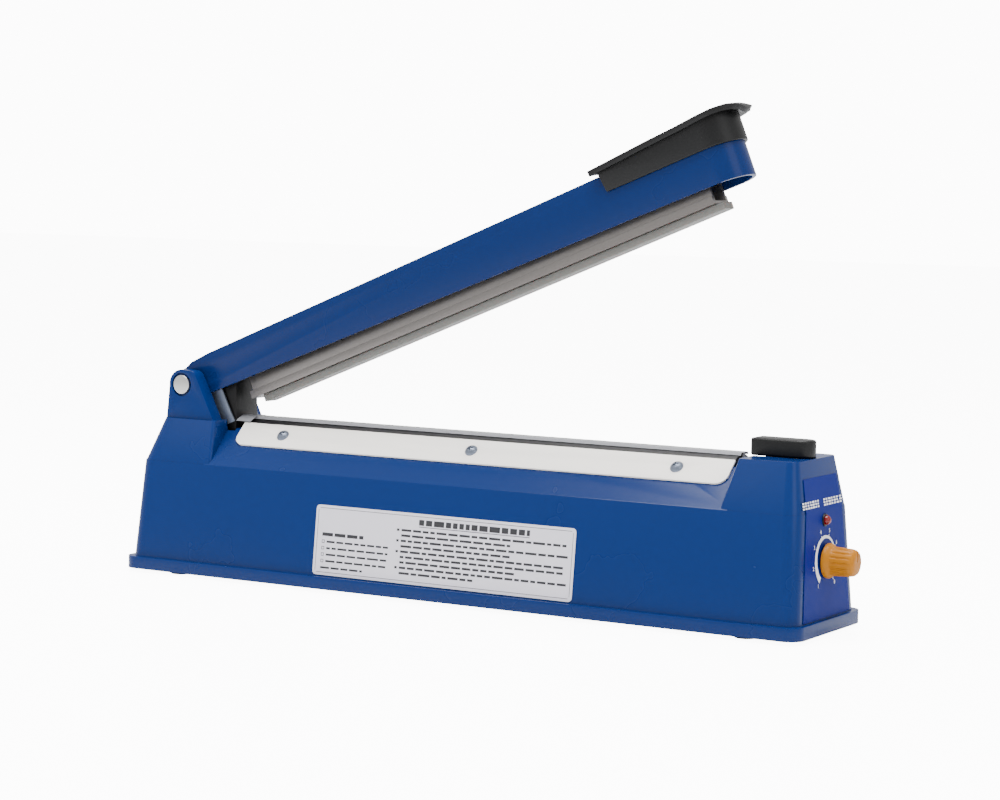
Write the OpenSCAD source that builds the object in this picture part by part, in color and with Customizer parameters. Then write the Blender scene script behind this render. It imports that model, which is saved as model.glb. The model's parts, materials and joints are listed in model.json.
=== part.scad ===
// Hand impulse heat sealer. Millimetres, +Z up, +X towards the timer knob, -Y towards the user.
// The origin is the middle of the overall footprint, on the surface that the rubber feet stand on.

/* [Base] */
// Width of the base over its foot flange
body_w = 85; // [78:1:104]
// Height of the foot flange
flange_h = 7; // [5:0.5:10]
// How far the rubber feet hold the flange off the table
foot_stand = 2; // [1.5:0.5:4]
// Height of the ledge where the lower walls end, above the flange's underside
ledge_h = 63; // [58:1:76]
// Height of the control tower above the ledge
tower_rise = 26.3; // [22:0.1:32]
// Height of the hinge tower above the ledge
shoulder_rise = 24.7; // [21:0.1:30]
// Wall of the base housing
wall = 2.5; // [2:0.1:3]

/* [Sealing bed] */
// Length of the sealing bed
bed_l = 314; // [280:1:380]
// Distance from the base's left end to the bed's left end
bed_inset = 64; // [62:1:72]
// Height of the roof's flat top above the ledge
roof_rise = 20; // [17:0.5:24]
// Half width of the roof's flat top
roof_half = 12.6; // [11.5:0.1:14]
// Height of the finished bed above the roof's flat top
bed_rise = 7; // [6:0.1:7.4]
// Thickness of the stainless clamp plates
plate_t = 1.2; // [0.8:0.1:1.6]
// Spacing of the clamp screws
clamp_pitch = 126; // [100:1:140]

/* [Arm] */
// Opening angle of the arm at rest
open_deg = 22; // [18:1:26]
// Distance from the base's left end to the hinge pin
pivot_inset = 28; // [27:0.5:30]
// Height of the hinge pin above the finished bed
pin_rise = 17.3; // [17:0.1:19]
// Radius of the hinge pin
pin_r = 3; // [2.5:0.1:3.5]
// How far the arm's round free end reaches past the press bar
arm_past_bar = 22.5; // [20:0.5:26]
// Width of the arm over its side walls
arm_w = 30; // [28:0.5:31]
// Wall of the arm
arm_wall = 2.2; // [1.8:0.1:2.5]
// Height of the arm's top edge above the pin line at the hinge end
arm_top_near = 12.4; // [12:0.1:14]
// Height of the arm's top edge above the pin line at the free end
arm_top_far = 15.8; // [15:0.1:18]
// Depth of the arm's lower edge below the pin line at the hinge end
arm_low_near = 9.4; // [9:0.1:11]
// Depth of the arm's lower edge below the pin line at the free end
arm_low_far = 13.4; // [12:0.1:14]

/* [Press bar] */
// Width of the press bar
bar_w = 16; // [14:0.5:17]
// Wall of the press bar
bar_wall = 1.8; // [1.5:0.1:2.2]
// Depth of the rubber's face below the pin line while the arm is open
rubber_drop = 25.3; // [24.5:0.1:26.5]
// Thickness of the sealing rubber
rubber_t = 4; // [3:0.1:4.5]
// Gap left between the rubber and the bed when the arm is down
jaw_gap = 0.3; // [0.3:0.1:0.6]

/* [Controls] */
// Length of the control end, from the bed's right end to the base's right end
control_l = 52; // [48:1:70]
// Height of the timer knob's axis above the flange's underside
dial_h = 37; // [34:1:42]
// Radius of the knob's skirt
skirt_r = 9.2; // [8:0.1:11]
// Radius of the knob's fluted grip
knob_r = 7.7; // [6.5:0.1:7.8]
// How far the knob stands out of the base's right wall
knob_len = 18.2; // [17:0.1:24]
// Radius of the indicator lamp
lamp_r = 2.5; // [2:0.1:3]
// Bore of the cord inlet grommet
inlet_r = 3.5; // [3:0.1:4]

/* [Hidden] */
$fn = 64;
eps = 0.01;
run_gap = 0.05;
slip_gap = 0.02;

// Base outline: length, width and inset of each level
foot_in = 3;
ledge_in_y = 8.9;
ledge_in_x = 6;
top_in_y = 16.2;
hinge_top_in = 16.2;
tower_top_in = 10.6;
corner_r = 9;
ledge_r = 8;
tower_r = 5.5;
crisp_r = 2;
hull_fn = 32;

body_l = bed_inset + bed_l + control_l;
roof_h = ledge_h + roof_rise;
tower_h = ledge_h + tower_rise;
shoulder_h = ledge_h + shoulder_rise;
pivot_h = roof_h + bed_rise + pin_rise;

z0 = foot_stand;
z_flange = z0 + flange_h;
z_ledge = z0 + ledge_h;
z_roof = z0 + roof_h;
z_tower = z0 + tower_h;
z_shoulder = z0 + shoulder_h;
z_bed = z_roof + bed_rise;

// Footprint: the knob stands out past the flange, so the flange sits left of the origin
knob_reach = knob_len - foot_in - (ledge_in_x - foot_in) * (dial_h - flange_h) / (ledge_h - flange_h);
cx = -knob_reach / 2;
x_left = cx - body_l / 2;
x_right = cx + body_l / 2;
half_low = body_w / 2 - foot_in;
half_ledge = body_w / 2 - ledge_in_y;
half_top = body_w / 2 - top_in_y;
face_tilt = atan((half_low - half_ledge) / (ledge_h - flange_h));
end_tilt = atan((ledge_in_x - foot_in) / (ledge_h - flange_h));
tower_tilt = atan((tower_top_in - ledge_in_x) / (tower_h - ledge_h));

// Bed and roof
bed_x0 = x_left + bed_inset;
bed_x1 = bed_x0 + bed_l;
bed_mid = bed_x0 + bed_l / 2;
roof_tilt = atan((roof_h - ledge_h) / (half_ledge - roof_half));
slope_l = norm([half_ledge - roof_half, roof_h - ledge_h]);
plate_low = 16.3;
plate_high = slope_l + 4;
plate_r = 6.5;
clamp_s = (plate_low + plate_high) / 2 + 0.4;
screw_xs = [for (i = [-1, 0, 1]) bed_mid + i * clamp_pitch];
board_half = roof_half - (plate_high - slope_l) * cos(roof_tilt);
board_side_z = z_roof + (plate_high - slope_l) * sin(roof_tilt);
rib_half = 3.8;
cloth_t = 0.25;
ribbon_t = 0.2;
ribbon_w = 3;
layer_gap = 0.05;
terminal_low = 13;
terminal_mid = 8;
terminal_l = 7;
spring_reach = 23;
rib_z = z_bed - cloth_t - ribbon_t - 2 * layer_gap;
shoulder_z = rib_z - 1.2;

// Towers: the hinge tower ends left of the bed, the control tower starts right of it
hinge_x1 = bed_x0 - 9;
tower_x0 = bed_x1 + 2;
tower_lean = 7;

// Hinge
px = x_left + pivot_inset;
pz = z0 + pivot_h;
ear_in = arm_w / 2 + 0.7;
ear_out = ear_in + 8.3;
ear_r = 8.7;
recess_r = 2.27 * pin_r;
pin_head_r = 1.83 * pin_r;
recess_d = 1.6;
bush_r = pin_r + 2;
hub_r = 9.8;
arm_half = arm_w / 2;
arm_in = arm_half - arm_wall;
bar_u1 = bed_x1 - px + 1;
arm_reach = bar_u1 + arm_past_bar;
arm_end_u = arm_reach - arm_half;

// Press bar: it floats up into the arm by bar_travel as the arm comes down
bar_travel = rubber_drop - (pz - z_bed) + jaw_gap;
bar_u0 = 36;
rubber_u0 = bar_u0 + 4;
rubber_u1 = bar_u1 + 3.5;
bar_floor = -rubber_drop + rubber_t + layer_gap;
bar_top = -9;
lip_top = bar_floor + 4.4;
lip_w = 1;
stud_us = [bar_u0 + 56, bar_u1 - 56];
stud_r = 2;
strap_v0 = bar_top + bar_travel + 0.5;
strap_t = 1.5;
ring_t = 0.9;
spring_r = 4;
strap_screw_x = 5.5;
strap_screw_y = arm_in - 2.3;

// Grip on the arm's free end
grip_us = [arm_reach - 62, arm_reach - 22];
grip_u0 = arm_reach - 78.5;
grip_half = arm_half + 1.7;
brim_half = arm_half + 5;
grip_low = 6;

// Push block on the control tower: the arm's end presses it down into its tray
stop_w = 14.6;
stop_h = 9.2;
stop_x0 = px + bar_u1 + 5.5;
stop_x1 = x_right - tower_top_in - 1.2;
stop_mid = (stop_x0 + stop_x1) / 2 + 2;
stop_z = z_tower + 0.1;
push_travel = stop_z + stop_h - (pz - arm_low_far) + jaw_gap;
tray_d = push_travel + 0.5;
tray_floor = 2;
stem_r = 3;
stem_low = z_tower - tray_d - tray_floor - 14;

// Hinge well
well_half = arm_half - 1;
well_x0 = px - 8;
well_x1 = bed_x0 - 4.5;
well_wall = 2;
well_out = well_half + well_wall;
well_eave_z = z_roof - 1 - (well_out - roof_half) * tan(roof_tilt);
shelf_z = z_ledge - 3;
shelf_t = 2.5;
seat_z = shelf_z + shelf_t;
block_x0 = well_x1 - 19;
block_x1 = well_x1 - 2;
block_mid = (block_x0 + block_x1) / 2;
leg_t = 1.2;
leg_y = arm_in - 0.05;
block_half = leg_y - leg_t - 1.15;
block_top = pz + 5.7;
block_bore = 5.5;
cap_t = 3;
plunger_r = 2.8;
web_v = arm_top_near - arm_wall;
plunger_gap = 1.2;

// Height of the arm's web over the plunger while the arm is open
web_up = pz + (block_mid - px) * tan(open_deg) + web_v / cos(open_deg);
plunger_top = web_up - plunger_gap;

// Arm bracket: its legs meet the well's right wall when the arm is open. Microswitch under the push block
leg_drop = 30;
leg_u0 = 4;
leg_u1 = 20;
button_gap = 0.4;
button_r = 1.4;
switch_l = 20;
switch_w = 6.4;
switch_h = 10;
button_top = stem_low - push_travel - button_gap;
switch_top = button_top - 2.4;
switch_z = switch_top - switch_h;

// Base plate, bosses and feet
cover_t = 1.2;
cover_z = z0 + 0.2;
rebate = cover_z + cover_t + slip_gap;
boss_r = 4;
boss_hole = 1.5;
boss_xs = [x_left + 22, cx - 70, x_right - 22];
boss_y = half_ledge - boss_r;
boss_top = z_ledge - 4;
foot_r = 7;
foot_x = body_l / 2 - 34;
foot_y = body_w / 2 - 12.5;

// Right wall: x of the outer face at a height, below and above the ledge
function wall_x(z) = x_right - foot_in - (ledge_in_x - foot_in) * (z - z_flange) / (z_ledge - z_flange);
dial_z = z0 + dial_h;
dial_x = wall_x(dial_z);
lamp_z = z_ledge - 5;
panel_t = 0.4;
pot_r = 8.5;
shaft_r = 3;
bushing_r = 3.6;

// Cord inlet at the rear, near the hinge
inlet_x = x_left + 95;
inlet_z = z0 + 24;
inlet_y = half_low - (inlet_z - z_flange) * tan(face_tilt);
inlet_hole = inlet_r + 2.2;

// Transformer on the base plate
core_l = 66;
core_w = 40;
core_h = 52;
core_x = cx - 20;
coil_l = 44;
coil_w = 58;
coil_h = 32;
floor_z = cover_z + cover_t + layer_gap;

// Timer board on stand-offs
board_x = x_right - 95;
board_l = 62;
board_w = 52;
board_t = 1.6;
board_z = floor_z + 8;
board_hole_xs = [board_x + 4, board_x + board_l - 4];
board_hole_y = board_w / 2 - 4;

// ---------- shared shapes ----------

// Rectangle between x0 and x1, half-width hy, with corners rounded to r0 on the left and r1 on the right
module round_rect(x0, x1, hy, r0, r1) {
    translate([x0 + r0, -hy]) square([x1 - x0 - r0 - r1, 2 * hy]);
    translate([x0, -hy + r0]) square([x1 - x0 - r1, 2 * (hy - r0)]);
    translate([x0 + r0, -hy + r1]) square([x1 - x0 - r0, 2 * (hy - r1)]);
    for (side = [-1, 1]) {
        translate([x0 + r0, side * (hy - r0)]) circle(r0);
        translate([x1 - r1, side * (hy - r1)]) circle(r1);
    }
}

// Tapering solid from one rounded rectangle at z1 to another at z2
module taper(z1, a, z2, b) {
    hull() {
        translate([0, 0, z1]) linear_extrude(eps) round_rect(a[0], a[1], a[2], a[3], a[4], $fn = hull_fn);
        translate([0, 0, z2 - eps]) linear_extrude(eps) round_rect(b[0], b[1], b[2], b[3], b[4], $fn = hull_fn);
    }
}

module rod(r, h) { cylinder(r = r, h = h); }

module tube(r1, r2, h) {
    difference() {
        cylinder(r = r2, h = h);
        translate([0, 0, -1]) cylinder(r = r1, h = h + 2);
    }
}

module rod_y(r, y0, y1) { translate([0, y0, 0]) rotate([-90, 0, 0]) cylinder(r = r, h = y1 - y0); }

module rod_x(r, x0, x1) { translate([x0, 0, 0]) rotate([0, 90, 0]) cylinder(r = r, h = x1 - x0); }

// Outline in the XZ plane pushed through from y0 to y1
module side_slab(points, y0, y1) {
    translate([0, y1, 0]) rotate([90, 0, 0]) linear_extrude(y1 - y0) polygon(points);
}

// Outline in the YZ plane pushed along X from x0 to x1
module end_slab(points, x0, x1) {
    translate([x0, 0, 0]) rotate([90, 0, 90]) linear_extrude(x1 - x0) polygon(points);
}

// Pan-head screw pointing down from the origin, with a cross recess
module pan_screw(head_r, head_h, shank_r, shank_l) {
    difference() {
        union() {
            rotate_extrude() intersection() {
                translate([0, -head_h * 0.9]) circle(head_h * 1.9);
                square([head_r, head_h]);
            }
            translate([0, 0, -shank_l]) cylinder(r = shank_r, h = shank_l);
        }
        for (a = [0, 90]) rotate(a) translate([-head_r * 0.5, -0.35, head_h * 0.55])
            cube([head_r, 0.7, head_h]);
    }
}

// Helical spring about Z from z = 0 to h, as one swept tube
module coil(r, wire, h, turns, per_turn = 14) {
    n = turns * per_turn;
    sides = 6;
    rise = h - 2 * wire;
    pts = [for (i = [0:n], k = [0:sides - 1])
        let (t = i / n, a = 360 * turns * t, b = 360 * k / sides, q = r + wire * cos(b))
        [q * cos(a), q * sin(a), wire + rise * t + wire * sin(b)]];
    skin = [for (i = [0:n - 1], k = [0:sides - 1])
        let (m = (k + 1) % sides)
        [i * sides + k, (i + 1) * sides + k, (i + 1) * sides + m, i * sides + m]];
    caps = [[for (k = [0:sides - 1]) k], [for (k = [sides - 1:-1:0]) n * sides + k]];
    polyhedron(points = pts, faces = concat(skin, caps), convexity = 6);
}

// Frame of the open arm: X runs along the arm from the pin, Z away from the bed
module on_arm() { translate([px, 0, pz]) rotate([0, -open_deg, 0]) children(); }

// Frame on the front roof slope: Y runs up the slope, Z stands off it. side = -1 front, 1 rear
module on_slope(side) {
    mirror([0, side > 0 ? 1 : 0, 0]) translate([0, -half_ledge, z_ledge]) rotate([roof_tilt, 0, 0]) children();
}

// Frame on the front wall: Z runs up the wall, -Y stands off it
module on_front() { translate([cx, -half_low, z_flange]) rotate([-face_tilt, 0, 0]) children(); }

// ---------- base ----------

// Each level: left x, right x, half width, left corner radius, right corner radius
low_out = [x_left + foot_in, x_right - foot_in, half_low, ledge_r, ledge_r];
ledge_out = [x_left + ledge_in_x, x_right - ledge_in_x, half_ledge, ledge_r, ledge_r];
hinge_low = [x_left + ledge_in_x, hinge_x1 + 1, half_ledge, ledge_r, crisp_r];
hinge_top = [x_left + hinge_top_in, hinge_x1 - 1.5, half_top, tower_r, crisp_r];
tower_low = [tower_x0, x_right - ledge_in_x, half_ledge, crisp_r, ledge_r];
tower_top = [tower_x0 + tower_lean, x_right - tower_top_in, half_top, crisp_r, tower_r];

function inset(a, t) = [a[0] + t, a[1] - t, a[2] - t, max(a[3] - t, 0.8), max(a[4] - t, 0.8)];

roof_out = [[-half_ledge, z_ledge - 1], [-half_ledge, z_ledge], [-roof_half, z_roof],
    [roof_half, z_roof], [half_ledge, z_ledge], [half_ledge, z_ledge - 1]];
roof_t = wall / sin(roof_tilt);
roof_in = [[-half_ledge + wall + 1, z_ledge - 12], [-half_ledge + roof_t, z_ledge],
    [-roof_half + 1, z_roof - wall],
    [roof_half - 1, z_roof - wall], [half_ledge - roof_t, z_ledge], [half_ledge - wall - 1, z_ledge - 12]];

module ear(side) {
    base_z = z_shoulder - 1;
    translate([px, 0, pz]) mirror([0, side > 0 ? 1 : 0, 0])
        side_slab(concat(
            [[-10.6, base_z - pz], [23.5, base_z - pz], [10.6, 4.6]],
            [for (a = [35:10:85]) [5.6 + 5 * cos(a), 3.2 + 5 * sin(a)]],
            [for (a = [95:10:185]) [ear_r * cos(a), ear_r * sin(a)]]), -ear_out, -ear_in);
}

module base_housing() {
    color("royalblue") difference() {
        union() {
            difference() {
                union() {
                    translate([0, 0, z0]) linear_extrude(flange_h)
                        round_rect(x_left, x_right, body_w / 2, corner_r, corner_r);
                    taper(z_flange - 1, low_out, z_ledge, ledge_out);
                    taper(z_ledge - 1, hinge_low, z_shoulder, hinge_top);
                    taper(z_ledge - 1, tower_low, z_tower, tower_top);
                    end_slab(roof_out, hinge_x1 - 3, tower_x0 + 5);
                    for (side = [-1, 1]) ear(side);
                }
                taper(z0 - 1, inset(low_out, wall), z_ledge - 1, inset(ledge_out, wall));
                taper(z_ledge - 2, inset(hinge_low, wall), z_shoulder - wall, inset(hinge_top, wall));
                taper(z_ledge - 2, inset(tower_low, wall), z_tower - wall, inset(tower_top, wall));
                end_slab(roof_in, hinge_x1 - wall, tower_x0 + wall);
            }
            // shelf under the hinge well, screw bosses, clamp screw bosses
            translate([0, 0, shelf_z]) linear_extrude(shelf_t)
                round_rect(x_left + ledge_in_x + 1, well_x1 + 1, half_ledge - 1, ledge_r, crisp_r);
            for (x = boss_xs, y = [-boss_y, boss_y]) translate([x, y, rebate]) rod(boss_r, boss_top - rebate);
            for (side = [-1, 1], x = screw_xs) on_slope(side) translate([x, clamp_s, -8]) rod(3.5, 7);
            // rib that the element spring pulls against
            translate([bed_x1 - 4, -half_ledge - 0.5, z_roof - terminal_low - spring_reach - 4])
                cube([3.5, 2 * half_ledge + 1, 4 - slip_gap]);
            // walls of the hinge well: full height inside the tower, then below the roof's slopes
            translate([well_x0 - well_wall, -well_out, shelf_z])
                cube([hinge_x1 - 3 - well_x0 + well_wall, 2 * well_out, z_roof - shelf_z - 1]);
            end_slab([[-well_out, shelf_z], [-well_out, well_eave_z], [-roof_half, z_roof - 1],
                [roof_half, z_roof - 1], [well_out, well_eave_z], [well_out, shelf_z]],
                hinge_x1 - 3.1, well_x1 + well_wall);
            // pad under the push block
            translate([tower_x0 + tower_lean + 1, -stop_w / 2 - 3, z_tower - tray_d - tray_floor])
                cube([stop_x1 - tower_x0 - tower_lean, stop_w + 6, tray_d + tray_floor - 1]);
        }
        // rebate for the base plate
        translate([0, 0, z0 - 1]) linear_extrude(rebate - z0 + 1)
            round_rect(x_left + 2.6, x_right - 2.6, body_w / 2 - 2.6, corner_r - 2.6, corner_r - 2.6);
        for (x = boss_xs, y = [-boss_y, boss_y]) translate([x, y, z0]) rod(boss_hole, 14);
        // hinge well and pin bores
        translate([well_x0, -well_half, seat_z]) cube([well_x1 - well_x0, 2 * well_half, 60]);
        translate([px, 0, pz]) rod_y(pin_r + slip_gap, -50, 50);
        for (s = [-1, 1]) translate([px, 0, pz])
            rod_y(recess_r, s > 0 ? ear_out - recess_d : -60, s > 0 ? 60 : recess_d - ear_out);
        // clamp screws, element legs, tray and stem of the push block
        for (side = [-1, 1], x = screw_xs) on_slope(side) translate([x, clamp_s, -10]) rod(2, 20);
        for (x = [bed_x0 - 1.2, bed_x1 - 0.8]) translate([x, -3, z_roof - 6]) cube([2, 6, 12]);
        translate([0, 0, z_tower - tray_d]) linear_extrude(20) push_plan(0.4, stop_x0 - 3);
        translate([stop_mid, 0, z_tower - 20]) rod(stem_r + run_gap, 20);
        // timer, lamp and cord holes
        translate([0, 0, dial_z]) rod_x(bushing_r + slip_gap, dial_x - 12, dial_x + 12);
        translate([0, 0, lamp_z]) rod_x(lamp_r + 0.8, dial_x - 14, dial_x + 14);
        translate([inlet_x, 0, inlet_z]) rod_y(inlet_hole, inlet_y - 12, inlet_y + 12);
    }
}

module base_plate() {
    color("silver") difference() {
        translate([0, 0, cover_z]) linear_extrude(cover_t)
            round_rect(x_left + 2.8, x_right - 2.8, body_w / 2 - 2.8, corner_r - 2.8, corner_r - 2.8);
        for (x = boss_xs, y = [-boss_y, boss_y]) translate([x, y, 0]) rod(boss_hole + 0.2, 20);
        for (x = [-1, 1] * (core_l / 2 + 5)) translate([core_x + x, 0, 0]) rod(1.7, 20);
    }
}

module base_plate_screws() {
    color("silver") for (x = boss_xs, y = [-boss_y, boss_y])
        translate([x, y, cover_z - slip_gap]) mirror([0, 0, 1]) pan_screw(2.8, 1.6, boss_hole - run_gap, 10);
}

module rubber_feet() {
    color("dimgray") for (x = [-foot_x, foot_x], y = [-foot_y, foot_y])
        translate([cx + x, y, 0]) cylinder(r1 = foot_r - 0.6, r2 = foot_r, h = cover_z - slip_gap);
}

// ---------- sealing bed ----------

module clamp_plate(side) {
    color("gainsboro") on_slope(side) difference() {
        translate([0, 0, layer_gap]) linear_extrude(plate_t) union() {
            translate([bed_x0, plate_low + plate_r]) square([bed_l, plate_high - plate_low - plate_r]);
            translate([bed_x0 + plate_r, plate_low]) square([bed_l - 2 * plate_r, plate_r + 1]);
            for (x = [bed_x0 + plate_r, bed_x1 - plate_r]) translate([x, plate_low + plate_r]) circle(plate_r);
        }
        for (x = screw_xs) translate([x, clamp_s, -5]) rod(2.2, 12);
    }
}

module clamp_screws(side) {
    color("silver") on_slope(side) for (x = screw_xs)
        translate([x, clamp_s, plate_t + 2 * layer_gap]) rotate(20) pan_screw(3.7, 2.3, 2 - run_gap, 9);
}

module front_clamp_plate() { clamp_plate(-1); }

module rear_clamp_plate() { clamp_plate(1); }

module front_clamp_screws() { clamp_screws(-1); }

module rear_clamp_screws() { clamp_screws(1); }

module bed_board() {
    half = [[roof_half, z_roof + slip_gap], [board_half, board_side_z], [rib_half + 0.9, shoulder_z],
        [rib_half, shoulder_z], [rib_half, rib_z]];
    outline = concat(half, [for (i = [4:-1:0]) [-half[i][0], half[i][1]]]);
    color("black") end_slab(outline, bed_x0 + 0.9, bed_x1 - 0.9);
}

module heating_element() {
    leg_z = z_roof - terminal_low + 0.5;
    color("silver") {
        translate([bed_x0, -ribbon_w / 2, rib_z + layer_gap]) cube([bed_l, ribbon_w, ribbon_t]);
        for (x = [bed_x0, bed_x1 - ribbon_t])
            translate([x, -ribbon_w / 2, leg_z])
                cube([ribbon_t, ribbon_w, rib_z + layer_gap + ribbon_t - leg_z]);
    }
}

module release_cloth() {
    foot_z = shoulder_z + layer_gap;
    side = rib_half + layer_gap;
    color("darkgray") difference() {
        end_slab([[-side - 0.9, foot_z], [-side - cloth_t, z_bed],
            [side + cloth_t, z_bed], [side + 0.9, foot_z]],
            bed_x0 - cloth_t - layer_gap, bed_x1 + cloth_t + layer_gap);
        translate([bed_x0 - layer_gap, -side, foot_z - 1])
            cube([bed_l + 2 * layer_gap, 2 * side, z_bed - cloth_t - foot_z + 1]);
    }
}

// Places its children at each end of the ribbon, +X pointing to the middle of the bed
module at_ribbon_ends() {
    translate([bed_x0, 0, z_roof]) children();
    translate([bed_x1, 0, z_roof]) mirror([1, 0, 0]) children();
}

// Brass blocks under the roof, each with a slot for the ribbon's end and a clamping screw
module element_terminals() {
    color("goldenrod") at_ribbon_ends() difference() {
        translate([-1.3, -4, -terminal_low]) cube([terminal_l, 8, terminal_low - wall - slip_gap]);
        translate([-layer_gap, -ribbon_w / 2 - 0.2, -terminal_low - 1])
            cube([ribbon_t + 2 * layer_gap, ribbon_w + 0.4, 20]);
        translate([ribbon_t, 0, -terminal_mid]) rod_x(1.5, 0, terminal_l);
    }
}

module terminal_screws() {
    reach = terminal_l - 1.3;
    color("silver") at_ribbon_ends() translate([reach + slip_gap, 0, -terminal_mid]) rotate([0, 90, 0])
        pan_screw(2.8, 1.6, 1.45, reach - ribbon_t - layer_gap);
}

// Pulls the ribbon tight as it grows hot
module element_spring() {
    color("silver") translate([bed_x1 - 2.2, 0, z_roof - terminal_low - spring_reach])
        coil(2.6, 0.5, spring_reach - layer_gap, 7);
}

// Outline of the push block, grown by t, with its round end to the right
module push_plan(t, x0) {
    r = stop_w / 2;
    translate([x0, -r - t]) square([stop_x1 - r - x0, 2 * (r + t)]);
    translate([stop_x1 - r, 0]) circle(r + t);
}

module push_block() {
    color([0.12, 0.12, 0.12]) {
        translate([0, 0, stop_z]) linear_extrude(stop_h) push_plan(0, stop_x0);
        translate([stop_mid, 0, stem_low]) rod(stem_r, stop_z - stem_low + 1);
    }
}

module push_block_clip() {
    color("silver") translate([stop_mid, 0, z_tower - tray_d - tray_floor - slip_gap - 0.8])
        tube(stem_r + slip_gap, stem_r + 2, 0.8);
}

// Lifts the push block, between the tray's floor and the block's underside
module push_block_spring() {
    low = z_tower - tray_d + slip_gap;
    color("silver") translate([stop_mid, 0, low]) coil(4.4, 0.4, stop_z - low - slip_gap, 2.5);
}

// ---------- hinge ----------

module hinge_pin() {
    color("silver") translate([px, 0, pz]) {
        rod_y(pin_r, -ear_out, ear_out);
        rod_y(pin_head_r, -ear_out - 0.5, recess_d - ear_out - slip_gap);
    }
}

module pin_clip() {
    color("silver") translate([px, ear_out - recess_d + slip_gap, pz]) rotate([-90, 0, 0])
        tube(pin_r + slip_gap, pin_r + 2.4, 0.8);
}

module spring_block() {
    color([0.1, 0.1, 0.1]) difference() {
        translate([block_x0, -block_half, seat_z + slip_gap])
            cube([block_x1 - block_x0, 2 * block_half, block_top - seat_z]);
        translate([block_mid, 0, seat_z + 2]) rod(block_bore, block_top - cap_t - seat_z - 2);
        translate([block_mid, 0, seat_z]) rod(plunger_r + run_gap, block_top);
    }
}

module return_spring() {
    low = seat_z + 2 + slip_gap;
    color("silver") translate([block_mid, 0, low]) coil(4.2, 0.6, block_top - cap_t - 4 - low, 9);
}

module return_plunger() {
    tip_r = plunger_r;
    color("silver") translate([block_mid, 0, 0]) {
        translate([0, 0, block_top - cap_t - 3.4]) rod(block_bore - 0.4, 3.2);
        translate([0, 0, block_top - cap_t - 3.4])
            rod(plunger_r, plunger_top - tip_r - block_top + cap_t + 3.4);
        translate([0, 0, plunger_top - tip_r]) sphere(tip_r);
    }
}

// ---------- arm ----------

function arm_top(u) = arm_top_near + (arm_top_far - arm_top_near) * u / arm_reach;
function arm_low(u) = -arm_low_near - (arm_low_far - arm_low_near) * u / arm_reach;

// Side outline of the arm, drawn in by t on top
module arm_side(t, low_extra, half) {
    side_slab([[0, hub_r - t], [5, arm_top(5) - t - 0.8], [18, arm_top(18) - t],
        [arm_reach + 2, arm_top(arm_reach) - t],
        [arm_reach + 2, arm_low(arm_reach) - low_extra], [0, arm_low(0) - low_extra]], -half, half);
}

// Plan outline of the arm with its round free end
module arm_plan(half, u0) {
    translate([0, 0, -60]) linear_extrude(120) union() {
        translate([u0, -half]) square([arm_end_u - u0, 2 * half]);
        translate([arm_end_u, 0]) circle(half);
    }
}

module arm_shell() {
    color("royalblue") on_arm() difference() {
        intersection() {
            union() {
                arm_side(0, 0, arm_half);
                rod_y(hub_r, -arm_half, arm_half);
            }
            arm_plan(arm_half, -hub_r - 1);
        }
        intersection() {
            arm_side(arm_wall, 20, arm_in);
            arm_plan(arm_in, 0);
        }
        translate([-20, -arm_in, -20]) cube([20, 2 * arm_in, 20 + hub_r - arm_wall]);
        rod_y(bush_r + slip_gap, -20, 20);
        for (u = grip_us) translate([u, 0, 0]) rod(1.7, 30);
    }
    // bosses that the bar guide straps are screwed up to
    color("royalblue") on_arm() for (u = stud_us, x = [-1, 1] * strap_screw_x, y = [-1, 1] * strap_screw_y) {
        boss_v = strap_v0 + strap_t + slip_gap;
        translate([u + x, y, boss_v]) tube(1, 2.2, arm_top(u + x) - arm_wall / 2 - boss_v);
    }
}

module pivot_bush() {
    color("goldenrod") on_arm() translate([0, -arm_half - 0.3, 0]) rotate([-90, 0, 0])
        tube(pin_r + run_gap, bush_r, arm_w + 0.6);
}

module arm_bracket() {
    web_top = arm_top(5) - 0.8 - arm_wall - 0.1;
    leg = [[leg_u0 + 2.6, web_top], [leg_u1 - 3, web_top], [leg_u1, -leg_drop], [leg_u0, -leg_drop],
        [leg_u0, -11], [leg_u0 + 2.6, -7]];
    color("slategray") on_arm() {
        side_slab(leg, -leg_y, -leg_y + leg_t);
        side_slab(leg, leg_y - leg_t, leg_y);
        translate([leg_u0 + 2.6, -leg_y, web_top - leg_t]) cube([leg_u1 - leg_u0 - 5.6, 2 * leg_y, leg_t]);
    }
}

// Straps across the arm that the press bar's studs slide through
module bar_guide_straps() {
    color("silver") on_arm() for (u = stud_us) difference() {
        translate([u - 8, -arm_in + 0.05, strap_v0]) cube([16, 2 * arm_in - 0.1, strap_t]);
        translate([u, 0, strap_v0 - 5]) rod(stud_r + run_gap, 10);
        for (x = [-1, 1] * strap_screw_x, y = [-1, 1] * strap_screw_y)
            translate([u + x, y, strap_v0 - 5]) rod(1, 10);
    }
}

module strap_screws() {
    color("silver") on_arm() for (u = stud_us, x = [-1, 1] * strap_screw_x, y = [-1, 1] * strap_screw_y)
        translate([u + x, y, strap_v0 - slip_gap]) mirror([0, 0, 1]) pan_screw(1.8, 0.6, 0.95, 7);
}

// Aluminium channel, open upwards, with a lip along its lower edges
module press_bar() {
    half = bar_w / 2;
    color("lightgray") on_arm() difference() {
        union() {
            translate([bar_u0, -half, bar_floor]) cube([bar_u1 - bar_u0, bar_w, bar_top - bar_floor]);
            translate([bar_u0 - 2, -half - lip_w, bar_floor])
                cube([bar_u1 - bar_u0 + 2, bar_w + 2 * lip_w, lip_top - bar_floor]);
        }
        translate([bar_u0 - 5, -half + bar_wall, bar_floor + bar_wall])
            cube([bar_u1 - bar_u0 + 10, bar_w - 2 * bar_wall, 30]);
        for (u = stud_us) translate([u, 0, bar_floor - 1]) rod(stud_r + slip_gap, 10);
    }
}

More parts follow.
